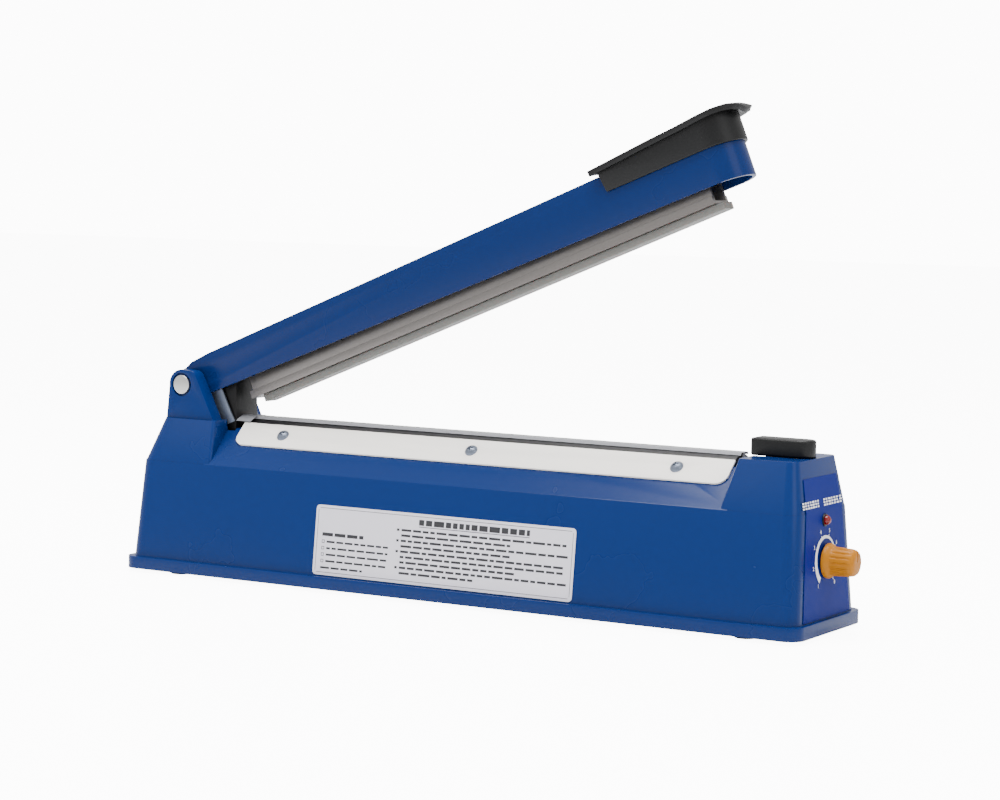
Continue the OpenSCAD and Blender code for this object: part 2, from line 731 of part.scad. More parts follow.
module bar_studs() {
    top = strap_v0 + strap_t + ring_t + slip_gap;
    color("silver") on_arm() for (u = stud_us) translate([u, 0, 0]) {
        translate([0, 0, bar_floor]) rod(stud_r, top - bar_floor);
        translate([0, 0, bar_floor + bar_wall + slip_gap]) rod(stud_r + 1, 0.8);
    }
}

module stud_rings() {
    color("silver") on_arm() for (u = stud_us) translate([u, 0, strap_v0 + strap_t + slip_gap])
        tube(stud_r + slip_gap, stud_r + 1.6, ring_t);
}

module bar_springs() {
    low = bar_floor + bar_wall + slip_gap + 0.05;
    color("silver") on_arm() for (u = stud_us) translate([u, 0, low])
        coil(spring_r, 0.45, strap_v0 - low - 0.05, 6);
}

module sealing_rubber() {
    color("gray") on_arm() translate([rubber_u0, -5.5, -rubber_drop])
        cube([rubber_u1 - rubber_u0, 11, rubber_t]);
}

// ---------- grip ----------

module grip_plan(half, u0, end_u) {
    translate([0, 0, -10]) linear_extrude(80) union() {
        translate([u0, -half]) square([end_u - u0, 2 * half]);
        translate([end_u, 0]) circle(half);
    }
}

module handle_grip() {
    end = arm_end_u + grip_half;
    color([0.15, 0.15, 0.16]) on_arm() difference() {
        union() {
            intersection() {
                grip_plan(grip_half, grip_u0, arm_end_u);
                side_slab([[grip_u0, grip_low], [end, grip_low - 0.3],
                    [end, arm_top_far + 5.5], [grip_u0 - 1, arm_top_far + 3.2]],
                    -grip_half, grip_half);
            }
            intersection() {
                grip_plan(brim_half, grip_u0 - 4, end - 12);
                side_slab([[grip_u0 - 3, arm_top_far + 4], [grip_u0 - 0.2, arm_top_far + 1.8],
                    [end - 20, arm_top_far + 5.6],
                    [end - 5, arm_top_far + 5.4], [end + 2, arm_top_far + 3], [end + 6, arm_top_far + 1.4],
                    [end + 8, arm_top_far + 3.2], [end + 7, arm_top_far + 7], [end + 2, arm_top_far + 9.8],
                    [end - 7, arm_top_far + 11.1], [end - 20, arm_top_far + 10],
                    [end - 50, arm_top_far + 7.6]], -brim_half, brim_half);
            }
        }
        intersection() {
            arm_side(-0.05, 20, arm_half + 0.05);
            arm_plan(arm_half + 0.05, 0);
        }
        for (u = grip_us) translate([u, 0, 0]) rod(1.5, arm_top_far + 5);
    }
}

module grip_screws() {
    color("silver") on_arm() for (u = grip_us)
        translate([u, 0, arm_top(u) - arm_wall - 0.06]) mirror([0, 0, 1]) pan_screw(3, 1.8, 1.45, 6);
}

// ---------- switch ----------

module microswitch() {
    color([0.15, 0.15, 0.15]) difference() {
        translate([stop_mid - 14, -switch_w / 2, switch_z]) cube([switch_l, switch_w, switch_h]);
        translate([stop_mid, 0, switch_top - 4]) rod(button_r + run_gap, 10);
    }
}

module switch_button() {
    color("firebrick") translate([stop_mid, 0, switch_top - 2.4]) rod(button_r, button_top - switch_top + 2.4);
}

// Beam under the microswitch, from wall to wall of the control tower
module switch_bracket() {
    half = half_ledge - wall - 0.5;
    x0 = stop_mid - 14;
    beam_l = min(switch_l, boss_xs[2] - boss_r - 0.5 - x0);
    color("silver") {
        translate([x0, -half, switch_z - 1.5 - slip_gap]) cube([beam_l, 2 * half, 1.5]);
        for (y = [-half, half - 1.5]) translate([x0, y, switch_z - 9]) cube([beam_l, 1.5, 8]);
    }
}

// ---------- inside the base ----------

module transformer_core() {
    window = coil_h + 1;
    low = floor_z + (core_h - window) / 2;
    color("dimgray") translate([core_x, 0, 0]) difference() {
        translate([-core_l / 2, -core_w / 2, floor_z]) cube([core_l, core_w, core_h]);
        for (s = [-1, 1]) translate([s * core_l / 3.6 - 6.5, -core_w, low]) cube([13, 2 * core_w, window]);
    }
}

module transformer_coil() {
    low = floor_z + (core_h - coil_h) / 2;
    color("peru") translate([core_x, 0, 0]) difference() {
        translate([-coil_l / 2 - 1, -coil_w / 2, low]) cube([coil_l + 2, coil_w, coil_h]);
        translate([-core_l / 3.6 + 6.4, -core_w / 2 - 0.1, low - 1])
            cube([2 * core_l / 3.6 - 12.8, core_w + 0.2, coil_h + 2]);
    }
}

// Steel strap over the core with a foot at each end
module transformer_frame() {
    top = floor_z + core_h + slip_gap;
    reach = core_l / 2 + slip_gap;
    color("silver") translate([core_x, 0, 0]) difference() {
        union() {
            translate([-reach - 1.2, -12, top]) cube([2 * reach + 2.4, 24, 1.2]);
            for (s = [-1, 1]) {
                translate([s > 0 ? reach : -reach - 1.2, -12, floor_z]) cube([1.2, 24, core_h + 1]);
                translate([s > 0 ? reach : -reach - 11.2, -12, floor_z]) cube([11.2, 24, 1.2]);
            }
        }
        for (s = [-1, 1]) translate([s * (core_l / 2 + 5), 0, 0]) rod(1.7, 20);
    }
}

module transformer_screws() {
    color("silver") for (s = [-1, 1])
        translate([core_x + s * (core_l / 2 + 5), 0, floor_z + 1.2 + slip_gap]) pan_screw(2.6, 2, 1.5, 2.4);
}

module timer_board() {
    color("seagreen") difference() {
        translate([board_x, -board_w / 2, board_z]) cube([board_l, board_w, board_t]);
        for (x = board_hole_xs, y = [-1, 1] * board_hole_y) translate([x, y, board_z - 1]) rod(1.6, 5);
    }
}

module board_standoffs() {
    color("white") for (x = board_hole_xs, y = [-1, 1] * board_hole_y) translate([x, y, floor_z]) {
        rod(3, board_z - floor_z - slip_gap);
        rod(1.5, board_z - floor_z + board_t + 1.5);
    }
}

module relay() {
    color("steelblue") translate([board_x + 8, -8, board_z + board_t + slip_gap]) cube([19, 15.5, 15.5]);
}

module capacitor() {
    color("black") translate([board_x + 40, 8, board_z + board_t + slip_gap]) rod(5, 17);
}

module potentiometer() {
    back = dial_x - wall - 0.6;
    color("silver") translate([0, 0, dial_z]) difference() {
        union() {
            rod_x(pot_r, back - 9, back);
            rod_x(bushing_r, back - 1, dial_x + 3.2);
            translate([back - 6, -5, -pot_r - 5]) cube([1.2, 10, 7]);
        }
        rod_x(shaft_r + run_gap, back - 7, dial_x + 10);
    }
}

module pot_nut() {
    color("silver") translate([dial_x + panel_t + 0.45, 0, dial_z]) rotate([0, 90, 0]) difference() {
        cylinder(r = 5.6, h = 2, $fn = 6);
        translate([0, 0, -1]) rod(bushing_r + slip_gap, 5);
    }
}

module pot_shaft() {
    color("silver") translate([0, 0, dial_z]) rod_x(shaft_r, dial_x - wall - 7, dial_x + knob_len - 4);
}

// Fluted grip on a thin skirt, hollow behind for the nut
module timer_knob() {
    skirt_x = dial_x + 1.3;
    end_x = dial_x + knob_len;
    flutes = 16;
    color("goldenrod") translate([0, 0, dial_z]) difference() {
        union() {
            rod_x(skirt_r, skirt_x, skirt_x + 3);
            rod_x(knob_r, skirt_x + 3 - eps, end_x - 1.2);
            translate([end_x - 1.2 - eps, 0, 0]) rotate([0, 90, 0])
                cylinder(r1 = knob_r, r2 = knob_r - 1.2, h = 1.2 + eps);
        }
        rod_x(6.1, skirt_x - 1, dial_x + 4.4);
        rod_x(shaft_r + slip_gap, skirt_x, end_x - 3.8);
        for (i = [0:flutes - 1]) rotate([i * 360 / flutes, 0, 0]) translate([0, knob_r + 0.35, 0])
            rod_x(0.8, skirt_x + 5, end_x + 1);
        // pointer groove across the end
        translate([end_x - 0.6, -0.5, 0]) cube([2, 1, knob_r + 1]);
    }
}

// Thin panel that follows the right wall and bends in at the ledge
module control_panel() {
    low = z_flange + 0.6;
    high = z_tower - 9;
    x_low = wall_x(low) + 0.05;
    x_mid = wall_x(z_ledge) + 0.05;
    x_high = x_mid - (high - z_ledge) * tan(tower_tilt);
    color("navy") difference() {
        intersection() {
            side_slab([[x_low, low], [x_mid, z_ledge], [x_high, high], [x_high + panel_t, high],
                [x_mid + panel_t, z_ledge], [x_low + panel_t, low]], -60, 60);
            end_slab([[10 - half_low, low - 1], [half_low - 10, low - 1],
                [half_top - 6, high + 1], [6 - half_top, high + 1]],
                x_left, x_right);
        }
        translate([0, 0, dial_z]) rod_x(bushing_r + 0.4, dial_x - 12, dial_x + 12);
        translate([0, 0, lamp_z]) rod_x(lamp_r + 0.8, dial_x - 12, dial_x + 12);
    }
}

// Printed ring round the knob, with eleven marks standing out of it
module dial_ring() {
    marks = 11;
    sweep = 300;
    color("white") translate([dial_x + panel_t + 0.08, 0, dial_z]) rotate([0, -end_tilt, 0])
        rotate([0, 90, 0]) {
        tube(13.2, 14.2, 0.15);
        for (i = [0:marks - 1]) rotate(-sweep / 2 + i * sweep / (marks - 1) + 180)
            translate([-14, -0.3, 0]) cube([3, 0.6, 0.15]);
    }
}

module indicator_lamp() {
    color("darkred") translate([0, 0, lamp_z]) {
        face = wall_x(lamp_z);
        rod_x(lamp_r, face - 4, face + 1.4);
        translate([face + 1.4, 0, 0]) sphere(lamp_r);
    }
}

module lamp_holder() {
    face = wall_x(lamp_z);
    color("black") translate([face - 4, 0, lamp_z]) rotate([0, 90, 0])
        tube(lamp_r + slip_gap, lamp_r + 0.75, 5.2);
}

module front_label() {
    color("white") on_front() translate([-82.5, -0.25, 0.8]) cube([166, 0.2, 39]);
}

module cord_grommet() {
    color("black") translate([inlet_x, 0, inlet_z]) difference() {
        union() {
            rod_y(inlet_hole - slip_gap, inlet_y - wall - 2, inlet_y + 1.6);
            rod_y(inlet_hole + 1.8, inlet_y + 0.85, inlet_y + 2.4);
            rod_y(inlet_hole + 1.5, inlet_y - wall - 3.1, inlet_y - wall - 1.6);
        }
        rod_y(inlet_r, inlet_y - 20, inlet_y + 20);
    }
}

module mains_terminal_block() {
    color("ivory") difference() {
        translate([inlet_x + 18, 6, floor_z]) cube([14, 24, 14]);
        for (i = [0:2]) translate([inlet_x + 25, 10 + 8 * i, floor_z + 4]) rod(1.6, 20);
    }
}

base_housing();
base_plate();
base_plate_screws();
rubber_feet();
front_clamp_plate();
rear_clamp_plate();
front_clamp_screws();
rear_clamp_screws();
bed_board();
heating_element();
release_cloth();
element_terminals();
terminal_screws();
element_spring();
push_block();
push_block_clip();
push_block_spring();
hinge_pin();
pin_clip();
spring_block();
return_spring();
return_plunger();
arm_shell();
pivot_bush();
arm_bracket();
bar_guide_straps();
strap_screws();
press_bar();
bar_studs();
stud_rings();
bar_springs();
sealing_rubber();
handle_grip();
grip_screws();
microswitch();
switch_button();
switch_bracket();
transformer_core();
transformer_coil();
transformer_frame();
transformer_screws();
timer_board();
board_standoffs();
relay();
capacitor();
potentiometer();
pot_nut();
pot_shaft();
timer_knob();
control_panel();
dial_ring();
indicator_lamp();
lamp_holder();
front_label();
cord_grommet();
mains_terminal_block();
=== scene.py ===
"""Hand impulse heat sealer: the visible model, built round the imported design. Metres, +Z up."""

import json
import math
import random

import bmesh
import bpy
from bpy.props import FloatProperty, FloatVectorProperty, PointerProperty
from mathutils import Matrix, Vector


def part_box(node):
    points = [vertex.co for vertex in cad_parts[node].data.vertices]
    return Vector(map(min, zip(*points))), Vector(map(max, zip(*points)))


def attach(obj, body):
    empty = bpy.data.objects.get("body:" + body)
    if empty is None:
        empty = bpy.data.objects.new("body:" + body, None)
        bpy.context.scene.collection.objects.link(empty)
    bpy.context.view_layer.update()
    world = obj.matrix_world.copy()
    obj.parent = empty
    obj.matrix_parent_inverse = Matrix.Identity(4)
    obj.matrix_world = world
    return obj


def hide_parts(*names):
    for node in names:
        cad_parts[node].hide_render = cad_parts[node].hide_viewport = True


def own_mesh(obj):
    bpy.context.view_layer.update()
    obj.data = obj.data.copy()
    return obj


bl_info = {
    "name": "Impulse Heat Sealer",
    "version": (1, 0, 0),
    "blender": (4, 5, 0),
    "location": "View3D > Sidebar > Sealer",
    "description": "Builds the shown surfaces of a hand impulse heat sealer round its packed frame",
    "category": "Add Mesh",
}

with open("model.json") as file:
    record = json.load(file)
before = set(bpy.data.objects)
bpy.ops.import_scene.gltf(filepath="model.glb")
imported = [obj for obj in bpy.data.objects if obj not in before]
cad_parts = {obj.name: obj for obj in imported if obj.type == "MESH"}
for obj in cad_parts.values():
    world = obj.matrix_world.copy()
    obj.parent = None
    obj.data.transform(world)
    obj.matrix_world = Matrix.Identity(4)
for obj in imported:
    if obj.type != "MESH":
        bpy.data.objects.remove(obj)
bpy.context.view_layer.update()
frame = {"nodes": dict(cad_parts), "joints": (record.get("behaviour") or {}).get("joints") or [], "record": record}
NODES = frame["nodes"]
JOINTS = {j["name"]: j for j in frame["joints"]}
BODY_OF = {n: b for b, names in frame["record"]["behaviour"]["bodies"].items() for n in names}

MM = 0.001
HINGE = Vector(JOINTS["arm_hinge"]["pos_m"])
OPEN = math.radians(JOINTS["arm_hinge"]["range_deg"][1])
ON_ARM = Matrix.Translation(HINGE) @ Matrix.Rotation(-OPEN, 4, "Y")
DIAL = Vector(JOINTS["timer_knob_turn"]["pos_m"])

# how far each wall leans in, and over what height
FRONT_LEAN = math.atan2(5.9, 56.0)
END_LEAN = math.atan2(3.0, 56.0)
TOWER_LEAN = math.atan2(4.6, 26.3)
KNEE_Z = 65 * MM


def srgb(r, g, b):
    """A screen colour as the linear values that the shaders use."""
    return tuple((c / 255 / 12.92) if c <= 10 else ((c / 255 + 0.055) / 1.055) ** 2.4 for c in (r, g, b))


def size_prop(name, description, default):
    return FloatProperty(
        name=name, description=description, default=default, unit="LENGTH", subtype="DISTANCE"
    )


def colour_prop(name, description, default):
    return FloatVectorProperty(
        name=name, description=description, default=default, subtype="COLOR", size=3, min=0.0, max=1.0
    )


class SealerSizes(bpy.types.PropertyGroup):
    housing_edge: size_prop("Housing edge", "Rounding of the housing's moulded edges", 0.9 * MM)
    arm_edge: size_prop("Arm edge", "Rounding of the arm's moulded edges", 0.7 * MM)
    metal_edge: size_prop("Metal edge", "Rounding of cut and pressed metal edges", 0.15 * MM)
    grip_edge: size_prop("Grip edge", "Rounding of the grip's edges", 1.1 * MM)
    block_edge: size_prop("Block edge", "Rounding of the push block's edges", 1.3 * MM)
    brim_t: size_prop("Brim thickness", "Thickness of the grip's brim at its rim", 3.0 * MM)
    flute_depth: size_prop("Flute depth", "Depth of the flutes round the timer knob", 0.55 * MM)
    cloth_t: size_prop("Cloth thickness", "Thickness of the release cloth", 0.2 * MM)


class SealerColours(bpy.types.PropertyGroup):
    housing: colour_prop("Housing", "Moulded blue of the base", srgb(0, 34, 90))
    arm: colour_prop("Arm", "Moulded blue of the arm", srgb(4, 32, 84))
    panel: colour_prop("Panel", "Printed film on the control end", srgb(0, 22, 104))
    grip: colour_prop("Grip", "Black of the grip and the push block", srgb(9, 9, 10))
    knob: colour_prop("Knob", "Amber of the timer knob", srgb(168, 104, 0))
    lamp: colour_prop("Lamp", "Red of the indicator lens", srgb(110, 0, 0))
    steel: colour_prop("Steel", "Brushed stainless of the clamp plates", srgb(252, 248, 241))
    aluminium: colour_prop("Aluminium", "Extruded press bar", srgb(126, 122, 119))
    cloth: colour_prop("Cloth", "Coated glass cloth over the bed", srgb(146, 147, 152))
    rubber: colour_prop("Rubber", "Silicone strip of the press bar", srgb(108, 108, 104))
    label: colour_prop("Label", "Ground of the front label", srgb(214, 211, 220))


# ---------- mesh helpers ----------


def focus(*pieces):
    """Only these pieces are selected, and the first is active."""
    bpy.ops.object.select_all(action="DESELECT")
    for piece in pieces:
        piece.select_set(True)
    bpy.context.view_layer.objects.active = pieces[0]


def edit(piece):
    """Opens a piece in edit mode with nothing selected."""
    focus(piece)
    bpy.ops.object.mode_set(mode="EDIT")
    bpy.ops.mesh.select_mode(type="EDGE")
    bpy.ops.mesh.select_all(action="DESELECT")
    return bmesh.from_edit_mesh(piece.data)


def done():
    bpy.ops.object.mode_set(mode="OBJECT")


def block(name, low, high):
    """A box between two corners, with its place in its mesh."""
    low, high = Vector(low), Vector(high)
    bpy.ops.object.select_all(action="DESELECT")
    bpy.ops.mesh.primitive_cube_add(size=1, location=(low + high) / 2)
    piece = bpy.context.active_object
    piece.name = piece.data.name = name
    piece.scale = high - low
    bpy.ops.object.transform_apply(location=True, rotation=True, scale=True)
    return piece


def bevel_where(piece, test, offset, segments):
    """Bevels the edges whose middle and direction pass the test."""
    mesh = edit(piece)
    found = 0
    for e in mesh.edges:
        a, b = (v.co for v in e.verts)
        if test((a + b) / 2, (b - a).normalized(), e):
            e.select_set(True)
            found += 1
    if not found:
        done()
        raise RuntimeError(f"{piece.name}: no edge to bevel")
    bpy.ops.mesh.bevel(offset=offset, segments=segments, profile=0.5, affect="EDGES", clamp_overlap=True)
    done()


def sharp_outside(least=28):
    """A test for edges that stand out by more than an angle."""
    limit = math.radians(least)

    def test(middle, along, e):
        return len(e.link_faces) == 2 and e.calc_face_angle_signed(0.0) > limit

    return test


def boolean(piece, tool, operation):
    """Joins or cuts a piece with a tool, which is then removed."""
    focus(piece)
    change = piece.modifiers.new("cut", "BOOLEAN")
    change.operation = operation
    change.solver = "EXACT"
    change.object = tool
    bpy.ops.object.modifier_apply(modifier=change.name)
    bpy.data.objects.remove(tool)


def finish_piece(piece, node, material, angle=32, shift=None, replaced=True):
    """Places, smooths, paints and attaches a piece that stands for a node."""
    if shift is not None:
        piece.data.transform(shift)
    focus(piece)
    bpy.ops.object.shade_smooth_by_angle(angle=math.radians(angle))
    piece.data.materials.clear()
    piece.data.materials.append(material)
    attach(piece, BODY_OF[node])
    if replaced:
        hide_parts(node)
    return piece


def merged_copy(node, name):
    """A copy of a node's mesh with its loose triangles joined and its flat faces whole."""
    piece = bpy.data.objects.new(name, NODES[node].data.copy())
    piece.data.name = name
    bpy.context.scene.collection.objects.link(piece)
    focus(piece)
    bpy.ops.mesh.customdata_custom_splitnormals_clear()
    bpy.ops.object.mode_set(mode="EDIT")
    bpy.ops.mesh.select_all(action="SELECT")
    bpy.ops.mesh.remove_doubles(threshold=2e-6)
    bpy.ops.mesh.dissolve_limited(angle_limit=math.radians(0.4))
    bpy.ops.object.mode_set(mode="OBJECT")
    return piece


def softened(node, name, material, width, segments=2, least=28, angle=32):
    """A node's own shape with its outer edges rounded."""
    piece = merged_copy(node, name)
    bevel_where(piece, sharp_outside(least), width, segments)
    return finish_piece(piece, node, material, angle=angle)


def smoothed(node, name, material, angle=32):
    """A node's own shape with its curved faces shaded smooth."""
    return finish_piece(merged_copy(node, name), node, material, angle=angle)


def squeezed(node, material):
    """A spring shown as a smoothed copy of its node, with a mesh of its own."""
    piece = smoothed(node, f"{node}_shown", material)
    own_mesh(piece)
    return piece


# ---------- shader groups ----------


def group(name, inputs, outputs):
    """A new shader group with its named sockets, its input node and its output node."""
    made = bpy.data.node_groups.new(name, "ShaderNodeTree")
    for label, default in inputs:
        kind = "NodeSocketVector" if isinstance(default, tuple) else "NodeSocketFloat"
        socket = made.interface.new_socket(name=label, in_out="INPUT", socket_type=kind)
        socket.default_value = default
    for label in outputs:
        made.interface.new_socket(name=label, in_out="OUTPUT", socket_type="NodeSocketFloat")
    return made, made.nodes.new("NodeGroupInput"), made.nodes.new("NodeGroupOutput")


def noise(tree, size, vector, detail):
    node = tree.nodes.new("ShaderNodeTexNoise")
    node.inputs["Detail"].default_value = detail
    if isinstance(size, (int, float)):
        node.inputs["Scale"].default_value = size
    else:
        tree.links.new(size, node.inputs["Scale"])
    tree.links.new(vector, node.inputs["Vector"])
    return node.outputs["Fac"]


def grain_group():
    """Fine moulded texture, with slow patches of slightly different tone."""
    tree, given, out = group("moulded_grain", [("Scale", 2500.0), ("Patch Scale", 14.0)], ["Height", "Patch"])
    place = tree.nodes.new("ShaderNodeTexCoord").outputs["Object"]
    tree.links.new(noise(tree, given.outputs["Scale"], place, 3.0), out.inputs["Height"])
    tree.links.new(noise(tree, given.outputs["Patch Scale"], place, 4.0), out.inputs["Patch"])
    return tree


def brush_group():
    """Lines drawn along the metal, as brushing or rolling leaves them."""
    tree, given, out = group(
        "brushed_lines", [("Turn", (0.0, 0.0, 0.0)), ("Stretch", (25.0, 2600.0, 2600.0))], ["Height", "Patch"]
    )
    place = tree.nodes.new("ShaderNodeTexCoord").outputs["Object"]
    mapping = tree.nodes.new("ShaderNodeMapping")
    tree.links.new(place, mapping.inputs["Vector"])
    tree.links.new(given.outputs["Turn"], mapping.inputs["Rotation"])
    stretch = tree.nodes.new("ShaderNodeVectorMath")
    stretch.operation = "MULTIPLY"
    tree.links.new(mapping.outputs["Vector"], stretch.inputs[0])
    tree.links.new(given.outputs["Stretch"], stretch.inputs[1])
    tree.links.new(noise(tree, 1.0, stretch.outputs["Vector"], 3.0), out.inputs["Height"])
    tree.links.new(noise(tree, 22.0, place, 3.0), out.inputs["Patch"])
    return tree


def weave_group():
    """Two crossing sets of threads."""
    tree, given, out = group("plain_weave", [("Scale", 420.0)], ["Height", "Patch"])
    place = tree.nodes.new("ShaderNodeTexCoord").outputs["Object"]
    threads = []
    for direction in ("X", "Y"):
        wave = tree.nodes.new("ShaderNodeTexWave")
        wave.bands_direction = direction
        tree.links.new(place, wave.inputs["Vector"])
        tree.links.new(given.outputs["Scale"], wave.inputs["Scale"])
        threads.append(wave.outputs["Fac"])
    both = tree.nodes.new("ShaderNodeMath")
    both.operation = "MULTIPLY"
    tree.links.new(threads[0], both.inputs[0])
    tree.links.new(threads[1], both.inputs[1])
    tree.links.new(both.outputs["Value"], out.inputs["Height"])
    tree.links.new(noise(tree, 60.0, place, 3.0), out.inputs["Patch"])
    return tree


GROUPS = {}
FINISHES = {}


def surface_group(name):
    if name not in GROUPS:
        GROUPS[name] = {"grain": grain_group, "brush": brush_group, "weave": weave_group}[name]()
    return GROUPS[name]


def finish_material(
    name, colour, roughness, texture="grain", depth=0.02, tint=0.06, spread=0.06, values=(), **constants
):
    """A finish: base colour with patches of tone, roughness that varies, and a fine relief."""
    if name in FINISHES:
        return FINISHES[name]
    made = bpy.data.materials.new(name)
    made.use_nodes = True
    tree = made.node_tree
    shader = tree.nodes["Principled BSDF"]
    for label, value in constants.items():
        shader.inputs[label.replace("_", " ").title().replace("Ior", "IOR")].default_value = value
    pattern = tree.nodes.new("ShaderNodeGroup")
    pattern.node_tree = surface_group(texture)
    for label, value in values:
        pattern.inputs[label].default_value = value
    tone = tree.nodes.new("ShaderNodeMix")
    tone.data_type = "RGBA"
    tone.inputs["A"].default_value = (*(min(1.0, c * (1 + tint)) for c in colour), 1.0)
    tone.inputs["B"].default_value = (*(c * (1 - tint) for c in colour), 1.0)
    tree.links.new(pattern.outputs["Patch"], tone.inputs["Factor"])
    tree.links.new(tone.outputs["Result"], shader.inputs["Base Color"])
    gloss = tree.nodes.new("ShaderNodeMapRange")
    gloss.inputs["To Min"].default_value = max(0.03, roughness - spread)
    gloss.inputs["To Max"].default_value = min(1.0, roughness + spread)
    tree.links.new(pattern.outputs["Patch"], gloss.inputs["Value"])
    tree.links.new(gloss.outputs["Result"], shader.inputs["Roughness"])
    bump = tree.nodes.new("ShaderNodeBump")
    bump.inputs["Strength"].default_value = 0.6
    bump.inputs["Distance"].default_value = depth * MM
    tree.links.new(pattern.outputs["Height"], bump.inputs["Height"])
    tree.links.new(bump.outputs["Normal"], shader.inputs["Normal"])
    FINISHES[name] = made
    return made


def colours():
    return bpy.context.scene.sealer_colours


def sizes():
    return bpy.context.scene.sealer_sizes


def blue_housing():
    return finish_material(
        "blue_housing", colours().housing, 0.26, depth=0.006, tint=0.05, specular_ior_level=0.2
    )


def blue_arm():
    return finish_material("blue_arm", colours().arm, 0.28, depth=0.008, tint=0.05, specular_ior_level=0.18)


def black_plastic():
    values = [("Scale", 1500.0)]
    return finish_material(
        "black_plastic", colours().grip, 0.42, depth=0.03, tint=0.1, values=values, specular_ior_level=0.28
    )


def stainless():
    return finish_material("stainless", colours().steel, 0.5, "brush", 0.006, 0.02, metallic=0.0)


def zinc():
    return finish_material("zinc", srgb(196, 195, 192), 0.28, "grain", 0.012, 0.05, metallic=0.95)


def plated_sheet():
    return finish_material("plated_sheet", srgb(112, 120, 134), 0.35, "grain", 0.012, 0.06, metallic=0.8)


def satin_aluminium():
    along_arm = [("Turn", (0.0, OPEN, 0.0))]
    return finish_material(
        "satin_aluminium", colours().aluminium, 0.34, "brush", 0.012, 0.04, values=along_arm, metallic=0.9
    )


def brass():
    return finish_material("brass", srgb(198, 160, 88), 0.3, "grain", 0.01, 0.06, metallic=0.95)


def print_ink():
    return finish_material("print_ink", srgb(30, 30, 34), 0.55, depth=0.004, tint=0.1)


def print_white():
    return finish_material("print_white", srgb(228, 228, 232), 0.5, depth=0.004, tint=0.03)


# ---------- base ----------


class SEALER_OT_housing(bpy.types.Operator):
    """Adds the base housing with rounded edges, its base plate and feet"""

    bl_idname = "sealer.housing"
    bl_label = "Housing"

    def execute(self, context):
        piece = merged_copy("base_housing", "housing_shell")
        bevel_where(piece, sharp_outside(24), sizes().housing_edge, 3)
        finish_piece(piece, "base_housing", blue_housing(), angle=30)
        softened("base_plate", "bottom_plate", zinc(), sizes().metal_edge)
        smoothed("base_plate_screws", "bottom_screws", zinc())
        dark = finish_material("foot_rubber", srgb(42, 42, 43), 0.75, depth=0.05, tint=0.12)
        softened("rubber_feet", "feet", dark, 0.5 * MM)
        softened("cord_grommet", "inlet_grommet", dark, 0.3 * MM)
        return {"FINISHED"}


class SEALER_OT_bed(bpy.types.Operator):
    """Adds the clamp plates and screws, the bed board and the release cloth"""

    bl_idname = "sealer.bed"
    bl_label = "Sealing bed"

    def execute(self, context):
        for side in ("front", "rear"):
            softened(f"{side}_clamp_plate", f"{side}_plate", stainless(), sizes().metal_edge)
            smoothed(f"{side}_clamp_screws", f"{side}_screws", plated_sheet(), angle=40)
        board = finish_material("board_laminate", srgb(24, 23, 25), 0.42, depth=0.02, tint=0.15)
        softened("bed_board", "board", board, 0.2 * MM)
        self.cloth()
        return {"FINISHED"}

    def cloth(self):
        low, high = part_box("release_cloth")
        t = sizes().cloth_t
        cloth = finish_material(
            "coated_cloth", colours().cloth, 0.42, "weave", 0.03, 0.07,
            values=[("Scale", 420.0)], coat_weight=0.15,
        )
        edge, rib = high.y - t / 2, high.y - 0.85 * MM
        section = [(-edge, low.z + t), (-rib, high.z - t / 2), (rib, high.z - t / 2), (edge, low.z + t)]
        self.strip("cloth_over_bed", section, low.x, high.x, cloth, 160, ["board"])
        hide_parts("release_cloth")
        # loose end that hangs past the left end of the bed
        left = low.x - 5.6 * MM
        top = high.z + 0.15 * MM
        flap = [
            (-11.2 * MM, top - 2.85 * MM), (-8 * MM, top - 1.2 * MM),
            (-4.6 * MM, top), (-1 * MM, top + 0.05 * MM),
        ]
        self.strip("cloth_loose_end", flap, left, left + 10.3 * MM, cloth, 10, ["board"])

    def strip(self, name, section, x0, x1, material, cuts, rests_on):
        """A thin sheet that follows a section in YZ from x0 to x1."""
        bpy.ops.object.select_all(action="DESELECT")
        bpy.ops.mesh.primitive_grid_add(x_subdivisions=cuts, y_subdivisions=len(section) - 1, size=1)
        piece = bpy.context.active_object
        piece.name = piece.data.name = name
        rng = random.Random(5)
        ripple = 0.04 * MM
        wave = [rng.uniform(-1, 1) * ripple for _ in range(cuts + 1)]
        for v in piece.data.vertices:
            step = round((v.co.y + 0.5) * (len(section) - 1))
            along = round((v.co.x + 0.5) * cuts)
            y, z = section[step]
            v.co = (x0 + (x1 - x0) * along / cuts, y, z + wave[along] - ripple)
        focus(piece)
        thick = piece.modifiers.new("thickness", "SOLIDIFY")
        thick.thickness = sizes().cloth_t
        thick.offset = 0.0
        bpy.ops.object.modifier_apply(modifier=thick.name)
        finish_piece(piece, "release_cloth", material, angle=40, replaced=False)
        return piece


